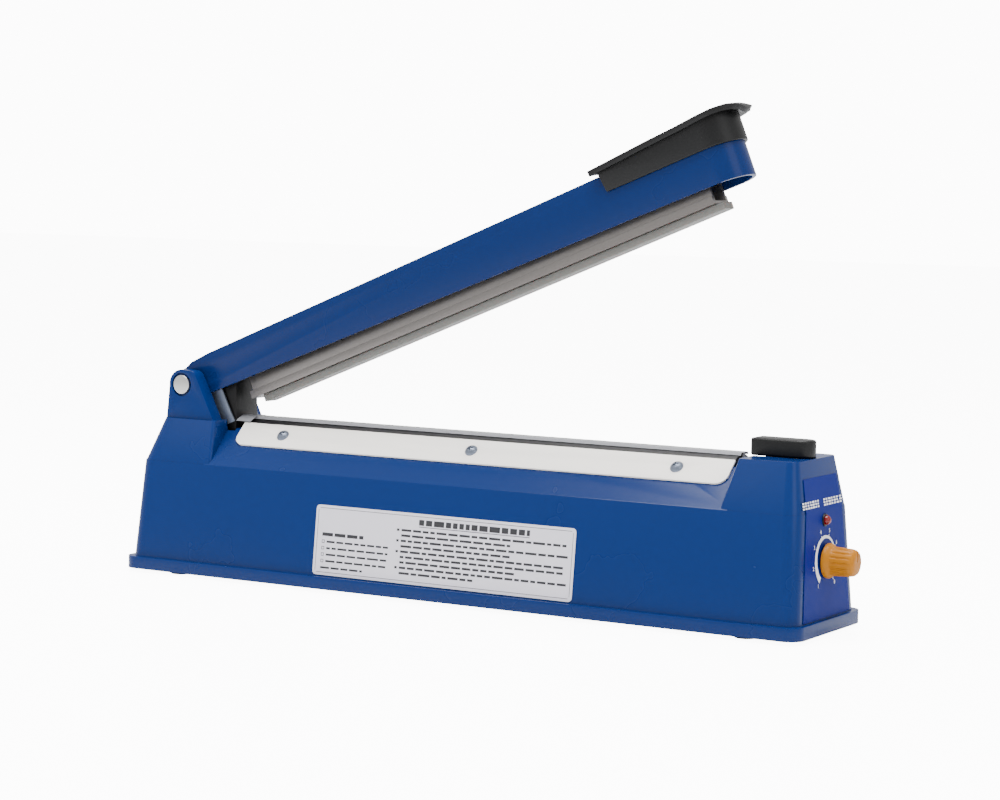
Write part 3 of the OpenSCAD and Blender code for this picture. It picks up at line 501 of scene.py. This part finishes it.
class SEALER_OT_push_block(bpy.types.Operator):
    """Adds the black push block on the control tower"""

    bl_idname = "sealer.push_block"
    bl_label = "Push block"

    def execute(self, context):
        low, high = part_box("push_block")
        # the cap stands on its spring, and its stem goes on down through it
        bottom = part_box("push_block_spring")[1].z
        half = high.y
        piece = block("push_block_cap", (low.x, -half, bottom), high)
        far = high.x - 0.1 * MM
        bevel_where(piece, lambda m, d, e: abs(d.z) > 0.9 and m.x > far, half - 0.05 * MM, 14)
        near = low.x + 0.1 * MM
        bevel_where(piece, lambda m, d, e: abs(d.z) > 0.9 and m.x < near, 1.6 * MM, 2)
        bevel_where(piece, sharp_outside(40), sizes().block_edge, 4)
        clip_low, clip_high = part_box("push_block_clip")
        middle = (clip_low.x + clip_high.x) / 2
        stem_top = bottom + MM
        bpy.ops.object.select_all(action="DESELECT")
        bpy.ops.mesh.primitive_cylinder_add(
            vertices=48, radius=3 * MM, depth=stem_top - low.z, location=(middle, 0, (stem_top + low.z) / 2)
        )
        stem = bpy.context.active_object
        bpy.ops.object.transform_apply(location=True, rotation=True, scale=True)
        bevel_where(stem, sharp_outside(60), 0.4 * MM, 2)
        boolean(piece, stem, "UNION")
        finish_piece(piece, "push_block", black_plastic(), angle=38)
        return {"FINISHED"}


# ---------- arm ----------


class SEALER_OT_arm(bpy.types.Operator):
    """Adds the arm, its bracket and hinge pin, and the press bar with its strip"""

    bl_idname = "sealer.arm"
    bl_label = "Arm and press bar"

    def execute(self, context):
        piece = merged_copy("arm_shell", "arm_cover")
        bevel_where(piece, sharp_outside(40), sizes().arm_edge, 3)
        finish_piece(piece, "arm_shell", blue_arm(), angle=30)
        softened("hinge_pin", "pivot_pin", zinc(), 0.35 * MM, 3, least=60)
        smoothed("pin_clip", "pivot_clip", zinc())
        softened("arm_bracket", "lever_bracket", plated_sheet(), sizes().metal_edge)
        softened("spring_block", "spring_tower", black_plastic(), 0.6 * MM)
        softened("press_bar", "press_channel", satin_aluminium(), sizes().metal_edge)
        rubber = finish_material(
            "silicone", colours().rubber, 0.55, depth=0.03, tint=0.06, subsurface_weight=0.05
        )
        softened("sealing_rubber", "rubber_strip", rubber, 0.35 * MM, 3)
        for node in (
            "bar_guide_straps", "strap_screws", "bar_studs", "stud_rings", "return_plunger", "grip_screws",
        ):
            smoothed(node, f"{node}_shown", zinc())
        squeezed("bar_springs", zinc())
        squeezed("return_spring", zinc())
        squeezed("push_block_spring", zinc())
        smoothed("pivot_bush", "hinge_bush", brass())
        return {"FINISHED"}


def round_end(half, centre, x):
    """Half width of an outline with a round end, at a place along it."""
    past = max(0.0, x - centre)
    return math.sqrt(max(half * half - past * past, 0.0))


class SEALER_OT_grip(bpy.types.Operator):
    """Adds the black grip with its overhanging brim"""

    bl_idname = "sealer.grip"
    bl_label = "Grip"

    # distances from the pin along the arm, and half widths
    ARM_END = 358.5 * MM
    START = 295 * MM
    HALF = 16.7 * MM
    BRIM_HALF = 20 * MM
    LOW = 5.6 * MM
    TOP = 24 * MM
    # room inside for the arm, whose top rises from the pin to its end
    ROOM_END = 373.6 * MM
    ROOM_HALF = 15.05 * MM
    ROOM_NEAR = 12.45 * MM
    ROOM_FAR = 15.85 * MM
    # height of the brim's middle line above the pin line, at distances from the pin
    BRIM = (
        (292, 20.6), (312, 21.8), (330, 22.9), (348, 24.2), (362, 25.6), (369, 26.0),
        (375, 25.4), (379.5, 24.0), (382, 22.0), (383.2, 19.6),
    )

    def execute(self, context):
        body = self.body()
        brim = self.brim()
        boolean(body, brim, "UNION")
        finish_piece(body, "handle_grip", black_plastic(), angle=35, shift=ON_ARM)
        return {"FINISHED"}

    def height(self, u):
        """Height of the brim's top at a distance from the pin."""
        spots = [(a * MM, b * MM) for a, b in self.BRIM]
        for (u0, v0), (u1, v1) in zip(spots, spots[1:]):
            if u <= u1:
                t = (u - u0) / (u1 - u0)
                return v0 + (v1 - v0) * t
        return spots[-1][1]

    def crown(self, u):
        """How far the brim's long edges lie below its middle line."""
        return (1.4 + 1.1 * min(max((u / MM - 330) / 38, 0.0), 1.0)) * MM

    def body(self):
        end = self.ARM_END + self.HALF
        piece = block("grip_cap", (self.START, -self.HALF, self.LOW), (end, self.HALF, self.TOP))
        # its near end is lower than the far one, and slants
        for v in piece.data.vertices:
            if v.co.x < self.START + MM:
                if v.co.z > self.LOW + MM:
                    v.co.z -= 4.6 * MM
                else:
                    v.co.x += 2.6 * MM
        far = end - 0.1 * MM
        bevel_where(piece, lambda m, d, e: abs(d.z) > 0.9 and m.x > far, self.HALF - 0.05 * MM, 16)
        bevel_where(piece, sharp_outside(40), sizes().grip_edge * 0.5, 3)
        room = block(
            "arm_room", (-5 * MM, -self.ROOM_HALF, -30 * MM), (self.ROOM_END, self.ROOM_HALF, 10 * MM)
        )
        for v in room.data.vertices:
            if v.co.z > 0:
                v.co.z = self.ROOM_NEAR if v.co.x < self.START else self.ROOM_FAR
        far_arm = self.ROOM_END - 0.1 * MM
        bevel_where(room, lambda m, d, e: abs(d.z) > 0.9 and m.x > far_arm, self.ROOM_HALF - 0.05 * MM, 16)
        boolean(piece, room, "DIFFERENCE")
        return piece

    def brim(self):
        u0, u1 = self.BRIM[0][0] * MM, self.BRIM[-1][0] * MM
        centre = u1 - self.BRIM_HALF
        long_cuts, wide_cuts = 72, 14
        bpy.ops.object.select_all(action="DESELECT")
        bpy.ops.mesh.primitive_grid_add(x_subdivisions=long_cuts, y_subdivisions=wide_cuts, size=1)
        piece = bpy.context.active_object
        piece.name = piece.data.name = "grip_brim"
        for v in piece.data.vertices:
            s, w = v.co.x + 0.5, v.co.y * 2
            # more cuts where the outline turns
            u = u0 + (u1 - u0) * (1 - (1 - s) ** 1.6)
            half = max(round_end(self.BRIM_HALF, centre, u), 0.4 * MM)
            across = w * half / self.BRIM_HALF
            v.co = (u, w * half, self.height(u) - self.crown(u) * across ** 2)
        focus(piece)
        thick = piece.modifiers.new("thickness", "SOLIDIFY")
        thick.thickness = sizes().brim_t
        thick.offset = -1.0
        bpy.ops.object.modifier_apply(modifier=thick.name)
        bevel_where(piece, sharp_outside(50), sizes().grip_edge * 0.7, 3)
        return piece


# ---------- controls ----------


class SEALER_OT_knob(bpy.types.Operator):
    """Adds the fluted timer knob on its skirt"""

    bl_idname = "sealer.knob"
    bl_label = "Timer knob"

    SIDES = 128
    FLUTES = 16

    def execute(self, context):
        low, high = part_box("timer_knob")
        skirt = high.z - DIAL.z
        length = high.x - low.x
        # distance from the panel, and radius
        profile = [
            (0.0, skirt - 0.5 * MM), (0.4 * MM, skirt - 0.05 * MM), (1.6 * MM, skirt - 0.05 * MM),
            (2.6 * MM, skirt - 0.5 * MM), (3.6 * MM, skirt - 1.3 * MM), (4.2 * MM, skirt - 1.55 * MM),
            (5.2 * MM, skirt - 1.6 * MM), (8.0 * MM, skirt - 1.7 * MM), (11.0 * MM, skirt - 1.85 * MM),
            (length - 3.2 * MM, skirt - 2.0 * MM), (length - 1.5 * MM, skirt - 2.4 * MM),
            (length - 0.5 * MM, skirt - 3.2 * MM), (length - 0.05 * MM, skirt - 4.4 * MM),
            (length, skirt - 6.2 * MM),
        ]
        bpy.ops.object.select_all(action="DESELECT")
        bpy.ops.mesh.primitive_circle_add(
            vertices=self.SIDES, radius=profile[0][1], fill_type="NGON",
            location=(low.x, DIAL.y, DIAL.z), rotation=(0, math.pi / 2, 0),
        )
        piece = bpy.context.active_object
        piece.name = piece.data.name = "knob"
        bpy.ops.object.transform_apply(location=True, rotation=True, scale=True)
        focus(piece)
        bpy.ops.object.mode_set(mode="EDIT")
        bpy.ops.mesh.select_mode(type="FACE")
        bpy.ops.mesh.select_all(action="SELECT")
        for (x0, r0), (x1, r1) in zip(profile, profile[1:]):
            bpy.ops.mesh.extrude_region_move(TRANSFORM_OT_translate={"value": (x1 - x0, 0, 0)})
            centre = (low.x + x1, DIAL.y, DIAL.z)
            bpy.ops.transform.resize(value=(1, r1 / r0, r1 / r0), center_override=centre)
        bpy.ops.mesh.select_all(action="SELECT")
        bpy.ops.mesh.normals_make_consistent(inside=False)
        done()
        # the flutes start past the skirt and fade before the end
        start, stop = low.x + 4.5 * MM, high.x - 1.0 * MM
        fade_over = 3 * MM
        for v in piece.data.vertices:
            if start < v.co.x < stop:
                y, z = v.co.y - DIAL.y, v.co.z - DIAL.z
                turn = math.atan2(z, y) * self.FLUTES
                drop = sizes().flute_depth * max(0.0, math.cos(turn)) ** 1.5
                fade = min(1.0, (stop - v.co.x) / fade_over)
                k = 1 - drop * fade / math.hypot(y, z)
                v.co.y, v.co.z = DIAL.y + y * k, DIAL.z + z * k
        groove_half = 0.45 * MM
        groove = block(
            "pointer",
            (high.x - 0.5 * MM, -groove_half, DIAL.z + 0.5 * MM),
            (high.x + MM, groove_half, DIAL.z + skirt),
        )
        boolean(piece, groove, "DIFFERENCE")
        amber = finish_material(
            "amber_plastic", colours().knob, 0.36, depth=0.01, tint=0.05, specular_ior_level=0.18
        )
        finish_piece(piece, "timer_knob", amber, angle=40)
        for node in ("pot_shaft", "pot_nut"):
            smoothed(node, f"{node}_shown", zinc())
        return {"FINISHED"}


def plate_frame(centre, tilt):
    """Frame on a printed face: X stands off it, Y runs across and Z up."""
    return Matrix.Translation(centre) @ Matrix.Rotation(-tilt, 4, "Y")


class SEALER_OT_panel(bpy.types.Operator):
    """Adds the control panel, its printed dial and marks, and the lamp"""

    bl_idname = "sealer.panel"
    bl_label = "Control panel"

    RING_R = 14.2 * MM
    NUMBERS = 8
    SWEEP = math.radians(280)
    GAP = math.radians(40)
    PRINT_HALF = 0.04 * MM

    def execute(self, context):
        film = finish_material(
            "panel_film", colours().panel, 0.5, depth=0.006, tint=0.08, specular_ior_level=0.08
        )
        softened("control_panel", "panel_film", film, 0.1 * MM, 1)
        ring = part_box("dial_ring")
        face = Vector(((ring[0].x + ring[1].x) / 2, 0, (ring[0].z + ring[1].z) / 2))
        on_face = plate_frame(face, END_LEAN)
        marks = [self.arc(), *self.ticks(), *self.numbers()]
        marks = self.join(marks, "dial_print")
        finish_piece(marks, "dial_ring", print_white(), shift=on_face)
        self.word_marks()
        self.lamp()
        return {"FINISHED"}

    def join(self, pieces, name):
        focus(*pieces)
        bpy.ops.object.join()
        piece = bpy.context.active_object
        piece.name = piece.data.name = name
        return piece

    def arc(self):
        """A band round the knob that grows from thin to wide, like the dial's scale."""
        steps = 96
        bpy.ops.object.select_all(action="DESELECT")
        bpy.ops.mesh.primitive_grid_add(x_subdivisions=steps, y_subdivisions=1, size=1)
        piece = bpy.context.active_object
        for v in piece.data.vertices:
            s, side = v.co.x + 0.5, v.co.y + 0.5
            a = -math.pi / 2 + self.GAP + s * self.SWEEP
            wide = (0.4 + 2.8 * s ** 1.2) * MM
            r = self.RING_R - 1.9 * MM - wide / 2 + side * wide
            v.co = (0, r * math.cos(a), r * math.sin(a))
        focus(piece)
        thick = piece.modifiers.new("thickness", "SOLIDIFY")
        thick.thickness = 2 * self.PRINT_HALF
        bpy.ops.object.modifier_apply(modifier=thick.name)
        return piece

    def angle(self, i):
        """Where a number stands on the dial."""
        return -math.pi / 2 - self.GAP - i * self.SWEEP / (self.NUMBERS - 1)

    def ticks(self):
        made = []
        for i in range(self.NUMBERS):
            tick = block(
                "tick",
                (-self.PRINT_HALF, -0.2 * MM, self.RING_R - 1.5 * MM),
                (self.PRINT_HALF, 0.2 * MM, self.RING_R - 0.2 * MM),
            )
            tick.data.transform(Matrix.Rotation(self.angle(i) - math.pi / 2, 4, "X"))
            made.append(tick)
        return made

    def numbers(self):
        made = []
        for i in range(self.NUMBERS):
            bpy.ops.object.select_all(action="DESELECT")
            bpy.ops.object.text_add()
            text = bpy.context.active_object
            text.data.body = str(i + 1)
            text.data.size = 3.0 * MM
            text.data.extrude = self.PRINT_HALF
            text.data.align_x = "CENTER"
            text.data.align_y = "CENTER"
            bpy.ops.object.convert(target="MESH")
            number = bpy.context.active_object
            turn = Matrix(((0, 0, 1, 0), (1, 0, 0, 0), (0, 1, 0, 0), (0, 0, 0, 1)))
            a = self.angle(i)
            r = self.RING_R + 1.8 * MM
            number.data.transform(Matrix.Translation((0, r * math.cos(a), r * math.sin(a))) @ turn)
            made.append(number)
        return made

    def word_marks(self):
        """Two generic printed marks above the lamp."""
        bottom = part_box("lamp_holder")[1].z + 4.0 * MM
        rng = random.Random(11)
        made = []
        for left, right in ((-26 * MM, -7 * MM), (0, 20 * MM)):
            y = left
            while y < right:
                step = rng.uniform(2.4, 3.8) * MM
                for z in (0.0, 1.4 * MM, 2.8 * MM):
                    end = y + step * rng.uniform(0.5, 0.8)
                    made.append(block("mark", (0, y, z), (2 * self.PRINT_HALF, end, z + 0.9 * MM)))
                y += step
        marks = self.join(made, "panel_marks")
        # the panel leans one way up to the knee and further above it
        knee_x = DIAL.x + 0.45 * MM - (KNEE_Z - DIAL.z) * math.tan(END_LEAN)
        x = knee_x - (bottom - KNEE_Z) * math.tan(TOWER_LEAN) + 0.06 * MM
        finish_piece(
            marks, "control_panel", print_white(), replaced=False,
            shift=plate_frame(Vector((x, 0, bottom)), TOWER_LEAN),
        )

    def lamp(self):
        low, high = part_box("indicator_lamp")
        r = (high.z - low.z) / 2
        mid, axis_z = high.x - r, (low.z + high.z) / 2
        bpy.ops.object.select_all(action="DESELECT")
        bpy.ops.mesh.primitive_uv_sphere_add(segments=48, ring_count=24, radius=r, location=(mid, 0, axis_z))
        piece = bpy.context.active_object
        piece.name = piece.data.name = "lamp_lens"
        bpy.ops.object.transform_apply(location=True, rotation=True, scale=True)
        # the lens keeps its dome in front and runs back as a barrel
        for v in piece.data.vertices:
            if v.co.x < mid:
                y, z = v.co.y, v.co.z - axis_z
                reach = math.hypot(y, z)
                if v.co.x > low.x and reach > r * 0.35:
                    v.co.y, v.co.z = y * r / reach, axis_z + z * r / reach
                v.co.x = mid - (mid - low.x) * min(1.0, (mid - v.co.x) / r)
        red = finish_material(
            "red_lens", colours().lamp, 0.15, depth=0.004, tint=0.05, specular_ior_level=0.5
        )
        finish_piece(piece, "indicator_lamp", red, angle=60)
        softened("lamp_holder", "lamp_bezel", black_plastic(), 0.15 * MM)


class SEALER_OT_label(bpy.types.Operator):
    """Adds the front label with plain lines and marks in place of print"""

    bl_idname = "sealer.label"
    bl_label = "Front label"

    PAPER = 0.2 * MM
    INK = 0.045 * MM
    # the four sides of a small box, in millimetres: left, right, bottom, top
    BOX = ((0, 1.8, 0, 0.3), (0, 1.8, 1.5, 1.8), (0, 0.3, 0.3, 1.5), (1.5, 1.8, 0.3, 1.5))

    def execute(self, context):
        low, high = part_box("front_label")
        width = high.x - low.x
        tall = (high.z - low.z) / math.cos(FRONT_LEAN)
        # frame on the wall: X along it, Z up it, -Y off it
        corner = (low.x, high.y - tall * math.sin(FRONT_LEAN), low.z)
        place = Matrix.Translation(corner) @ Matrix.Rotation(-FRONT_LEAN, 4, "X")
        paper = block("label_plate", (0, -self.PAPER, 0), (width, 0, tall))
        bevel_where(paper, lambda m, d, e: abs(d.y) > 0.9, 2.2 * MM, 5)
        ground = finish_material(
            "label_ground", colours().label, 0.4, depth=0.004, tint=0.02, coat_weight=0.1
        )
        finish_piece(paper, "front_label", ground, shift=place)
        ink = self.print_marks(width, tall)
        finish_piece(ink, "front_label", print_ink(), shift=place, replaced=False)
        return {"FINISHED"}

    def bar(self, x0, x1, z0, z1):
        """One printed bar, on the paper's face."""
        self.made.append(block("ink", (x0, -self.PAPER - self.INK, z0), (x1, -self.PAPER, z1)))

    def line(self, rng, x0, x1, z, height):
        """A row of word-like dashes."""
        x = x0
        while x < x1 - 1.5 * MM:
            word = min(rng.uniform(2.4, 7.5) * MM, x1 - x)
            self.bar(x, x + word, z, z + height)
            x += word + 1.1 * MM

    def print_marks(self, width, tall):
        self.made = []
        rng = random.Random(23)
        inset, t = 1.5 * MM, 0.25 * MM
        for z in (inset, tall - inset - t):
            self.bar(inset + MM, width - inset - MM, z, z + t)
        for x in (inset, width - inset - t):
            self.bar(x, x + t, inset + MM, tall - inset - MM)
        # left column: a heading, four boxed rows and a closing row
        left = 5 * MM
        self.line(rng, left, left + 28 * MM, tall * 0.56, 1.9 * MM)
        for i in range(4):
            z = tall * 0.56 - (4.0 + 3.6 * i) * MM
            for a, b, c, d in self.BOX:
                self.bar(left + a * MM, left + b * MM, z + c * MM, z + d * MM)
            self.line(rng, left + 3.2 * MM, left + 44 * MM, z + 0.3 * MM, 1.1 * MM)
        self.line(rng, left, left + 28 * MM, tall * 0.56 - 18.2 * MM, 1.1 * MM)
        # right column: a ruled heading and four marked paragraphs
        right = 54 * MM
        self.line(rng, right + 14 * MM, right + 84 * MM, tall - 6.4 * MM, 3.1 * MM)
        self.bar(right + 14 * MM, right + 84 * MM, tall - 7.4 * MM, tall - 7.05 * MM)
        z = tall - 10.4 * MM
        for rows in (2, 2, 3, 2):
            self.bar(right, right + 1.6 * MM, z, z + 1.3 * MM)
            for k in range(rows):
                stop = width - 4 * MM if k < rows - 1 else right + rng.uniform(40, 80) * MM
                self.line(rng, right + 3 * MM, stop, z, 1.25 * MM)
                z -= 2.95 * MM
        focus(*self.made)
        bpy.ops.object.join()
        piece = bpy.context.active_object
        piece.name = piece.data.name = "label_print"
        return piece


# ---------- inside ----------


class SEALER_OT_inside(bpy.types.Operator):
    """Gives the pieces inside the base their finishes"""

    bl_idname = "sealer.inside"
    bl_label = "Inner pieces"

    def execute(self, context):
        ribbon = finish_material("ribbon_alloy", srgb(160, 157, 152), 0.35, "brush", 0.01, 0.05, metallic=0.9)
        iron = finish_material("core_varnish", srgb(70, 70, 74), 0.5, "brush", 0.05, 0.12, metallic=0.4)
        tape = finish_material("winding_tape", srgb(205, 168, 92), 0.35, depth=0.02, tint=0.08)
        mask = finish_material("board_mask", srgb(30, 122, 72), 0.35, depth=0.01, tint=0.08)
        relay = finish_material("relay_case", srgb(44, 108, 178), 0.4, depth=0.01, tint=0.05)
        nylon = finish_material("white_nylon", srgb(226, 225, 220), 0.45, depth=0.01, tint=0.04)
        red = finish_material("switch_red", srgb(170, 34, 34), 0.35, depth=0.01, tint=0.05)
        kept = {
            "heating_element": ribbon, "element_terminals": brass(), "terminal_screws": zinc(),
            "element_spring": zinc(), "push_block_clip": zinc(), "microswitch": black_plastic(),
            "switch_button": red, "switch_bracket": zinc(), "transformer_core": iron,
            "transformer_coil": tape, "transformer_frame": zinc(), "transformer_screws": zinc(),
            "timer_board": mask,
            "board_standoffs": nylon, "relay": relay, "capacitor": black_plastic(), "potentiometer": zinc(),
            "mains_terminal_block": nylon,
        }
        for node, material in kept.items():
            slots = NODES[node].material_slots
            if not slots:
                raise RuntimeError(f"{node} has no material slot")
            for s in slots:
                s.material = material
        return {"FINISHED"}


# ---------- stage ----------


class SEALER_OT_stage(bpy.types.Operator):
    """Adds the pale floor, soft light and the camera"""

    bl_idname = "sealer.stage"
    bl_label = "Stage"

    CAMERA = (0.7566, -1.2651, 0.2337)
    YAW, PITCH, ROLL = (math.radians(a) for a in (30.64, -4.79, 1.05))
    LENS_MM = 96.5
    # name, place, size and watts of each soft light
    LIGHTS = (
        ("key", (-0.9, -1.3, 1.5), 1.4, 7),
        ("end_fill", (1.6, -0.5, 0.9), 0.9, 5),
        ("top", (0.0, -0.1, 1.6), 1.2, 58),
    )
    AIM = Vector((0, 0, 0.08))
    FLOOR_LIFT = 10.0
    WORLD_LIT, WORLD_SEEN = 1.15, 12.0

    def execute(self, context):
        bpy.ops.object.select_all(action="DESELECT")
        bpy.ops.mesh.primitive_plane_add(size=12)
        floor = bpy.context.active_object
        floor.name = "floor"
        floor.data.materials.append(self.pale_floor())
        context.scene.world = self.studio()
        for row in self.LIGHTS:
            self.light(*row)
        self.camera(context)
        return {"FINISHED"}

    def pale_floor(self):
        """A white sheet that the camera sees as bright as the wall behind it."""
        made = finish_material("pale_floor", srgb(246, 247, 249), 0.32, depth=0.0, tint=0.004, spread=0.02)
        tree = made.node_tree
        path = tree.nodes.new("ShaderNodeLightPath")
        lift = tree.nodes.new("ShaderNodeMath")
        lift.operation = "MULTIPLY"
        lift.inputs[1].default_value = self.FLOOR_LIFT
        tree.links.new(path.outputs["Is Camera Ray"], lift.inputs[0])
        shader = tree.nodes["Principled BSDF"]
        shader.inputs["Emission Color"].default_value = (1, 1, 1, 1)
        tree.links.new(lift.outputs["Value"], shader.inputs["Emission Strength"])
        return made

    def studio(self):
        """White all round, brighter where the camera sees it than where it lights the model."""
        world = bpy.data.worlds.new("studio")
        world.use_nodes = True
        tree = world.node_tree
        lit = tree.nodes["Background"]
        lit.inputs["Color"].default_value = (1, 1, 1, 1)
        lit.inputs["Strength"].default_value = self.WORLD_LIT
        seen = tree.nodes.new("ShaderNodeBackground")
        seen.inputs["Color"].default_value = (1, 1, 1, 1)
        seen.inputs["Strength"].default_value = self.WORLD_SEEN
        either = tree.nodes.new("ShaderNodeMixShader")
        path = tree.nodes.new("ShaderNodeLightPath")
        tree.links.new(path.outputs["Is Camera Ray"], either.inputs["Fac"])
        tree.links.new(lit.outputs["Background"], either.inputs[1])
        tree.links.new(seen.outputs["Background"], either.inputs[2])
        tree.links.new(either.outputs["Shader"], tree.nodes["World Output"].inputs["Surface"])
        return world

    def light(self, name, place, size, watts):
        bpy.ops.object.select_all(action="DESELECT")
        bpy.ops.object.light_add(type="AREA", location=place)
        lamp = bpy.context.active_object
        lamp.name = name
        lamp.data.size = size
        lamp.data.energy = watts
        lamp.rotation_euler = (self.AIM - Vector(place)).to_track_quat("-Z", "Y").to_euler()

    def camera(self, context):
        bpy.ops.object.camera_add(location=self.CAMERA)
        camera = bpy.context.active_object
        camera.data.sensor_width = 36
        camera.data.lens = self.LENS_MM
        camera.data.clip_end = 50
        turn = Matrix.Rotation(self.YAW, 3, "Z") @ Matrix.Rotation(math.pi / 2 + self.PITCH, 3, "X")
        camera.rotation_euler = (turn @ Matrix.Rotation(self.ROLL, 3, "Z")).to_euler()
        context.scene.camera = camera


OPERATORS = (
    SEALER_OT_housing, SEALER_OT_bed, SEALER_OT_push_block, SEALER_OT_arm, SEALER_OT_grip, SEALER_OT_knob,
    SEALER_OT_panel, SEALER_OT_label, SEALER_OT_inside, SEALER_OT_stage,
)


class SEALER_PT_main(bpy.types.Panel):
    bl_label = "Heat Sealer"
    bl_idname = "SEALER_PT_main"
    bl_space_type = "VIEW_3D"
    bl_region_type = "UI"
    bl_category = "Sealer"

    def draw(self, context):
        for group_of in (context.scene.sealer_sizes, context.scene.sealer_colours):
            box = self.layout.box()
            for name in group_of.__annotations__:
                box.prop(group_of, name)
        for operator in OPERATORS:
            self.layout.operator(operator.bl_idname)


CLASSES = (SealerSizes, SealerColours, *OPERATORS, SEALER_PT_main)


def register():
    for cls in CLASSES:
        bpy.utils.register_class(cls)
    bpy.types.Scene.sealer_sizes = PointerProperty(type=SealerSizes)
    bpy.types.Scene.sealer_colours = PointerProperty(type=SealerColours)


def unregister():
    del bpy.types.Scene.sealer_colours
    del bpy.types.Scene.sealer_sizes
    for cls in reversed(CLASSES):
        bpy.utils.unregister_class(cls)


def main():
    register()
    bpy.ops.sealer.housing()
    bpy.ops.sealer.bed()
    bpy.ops.sealer.push_block()
    bpy.ops.sealer.arm()
    bpy.ops.sealer.grip()
    bpy.ops.sealer.knob()
    bpy.ops.sealer.panel()
    bpy.ops.sealer.label()
    bpy.ops.sealer.inside()
    bpy.ops.sealer.stage()


if __name__ == "__main__":
    main()
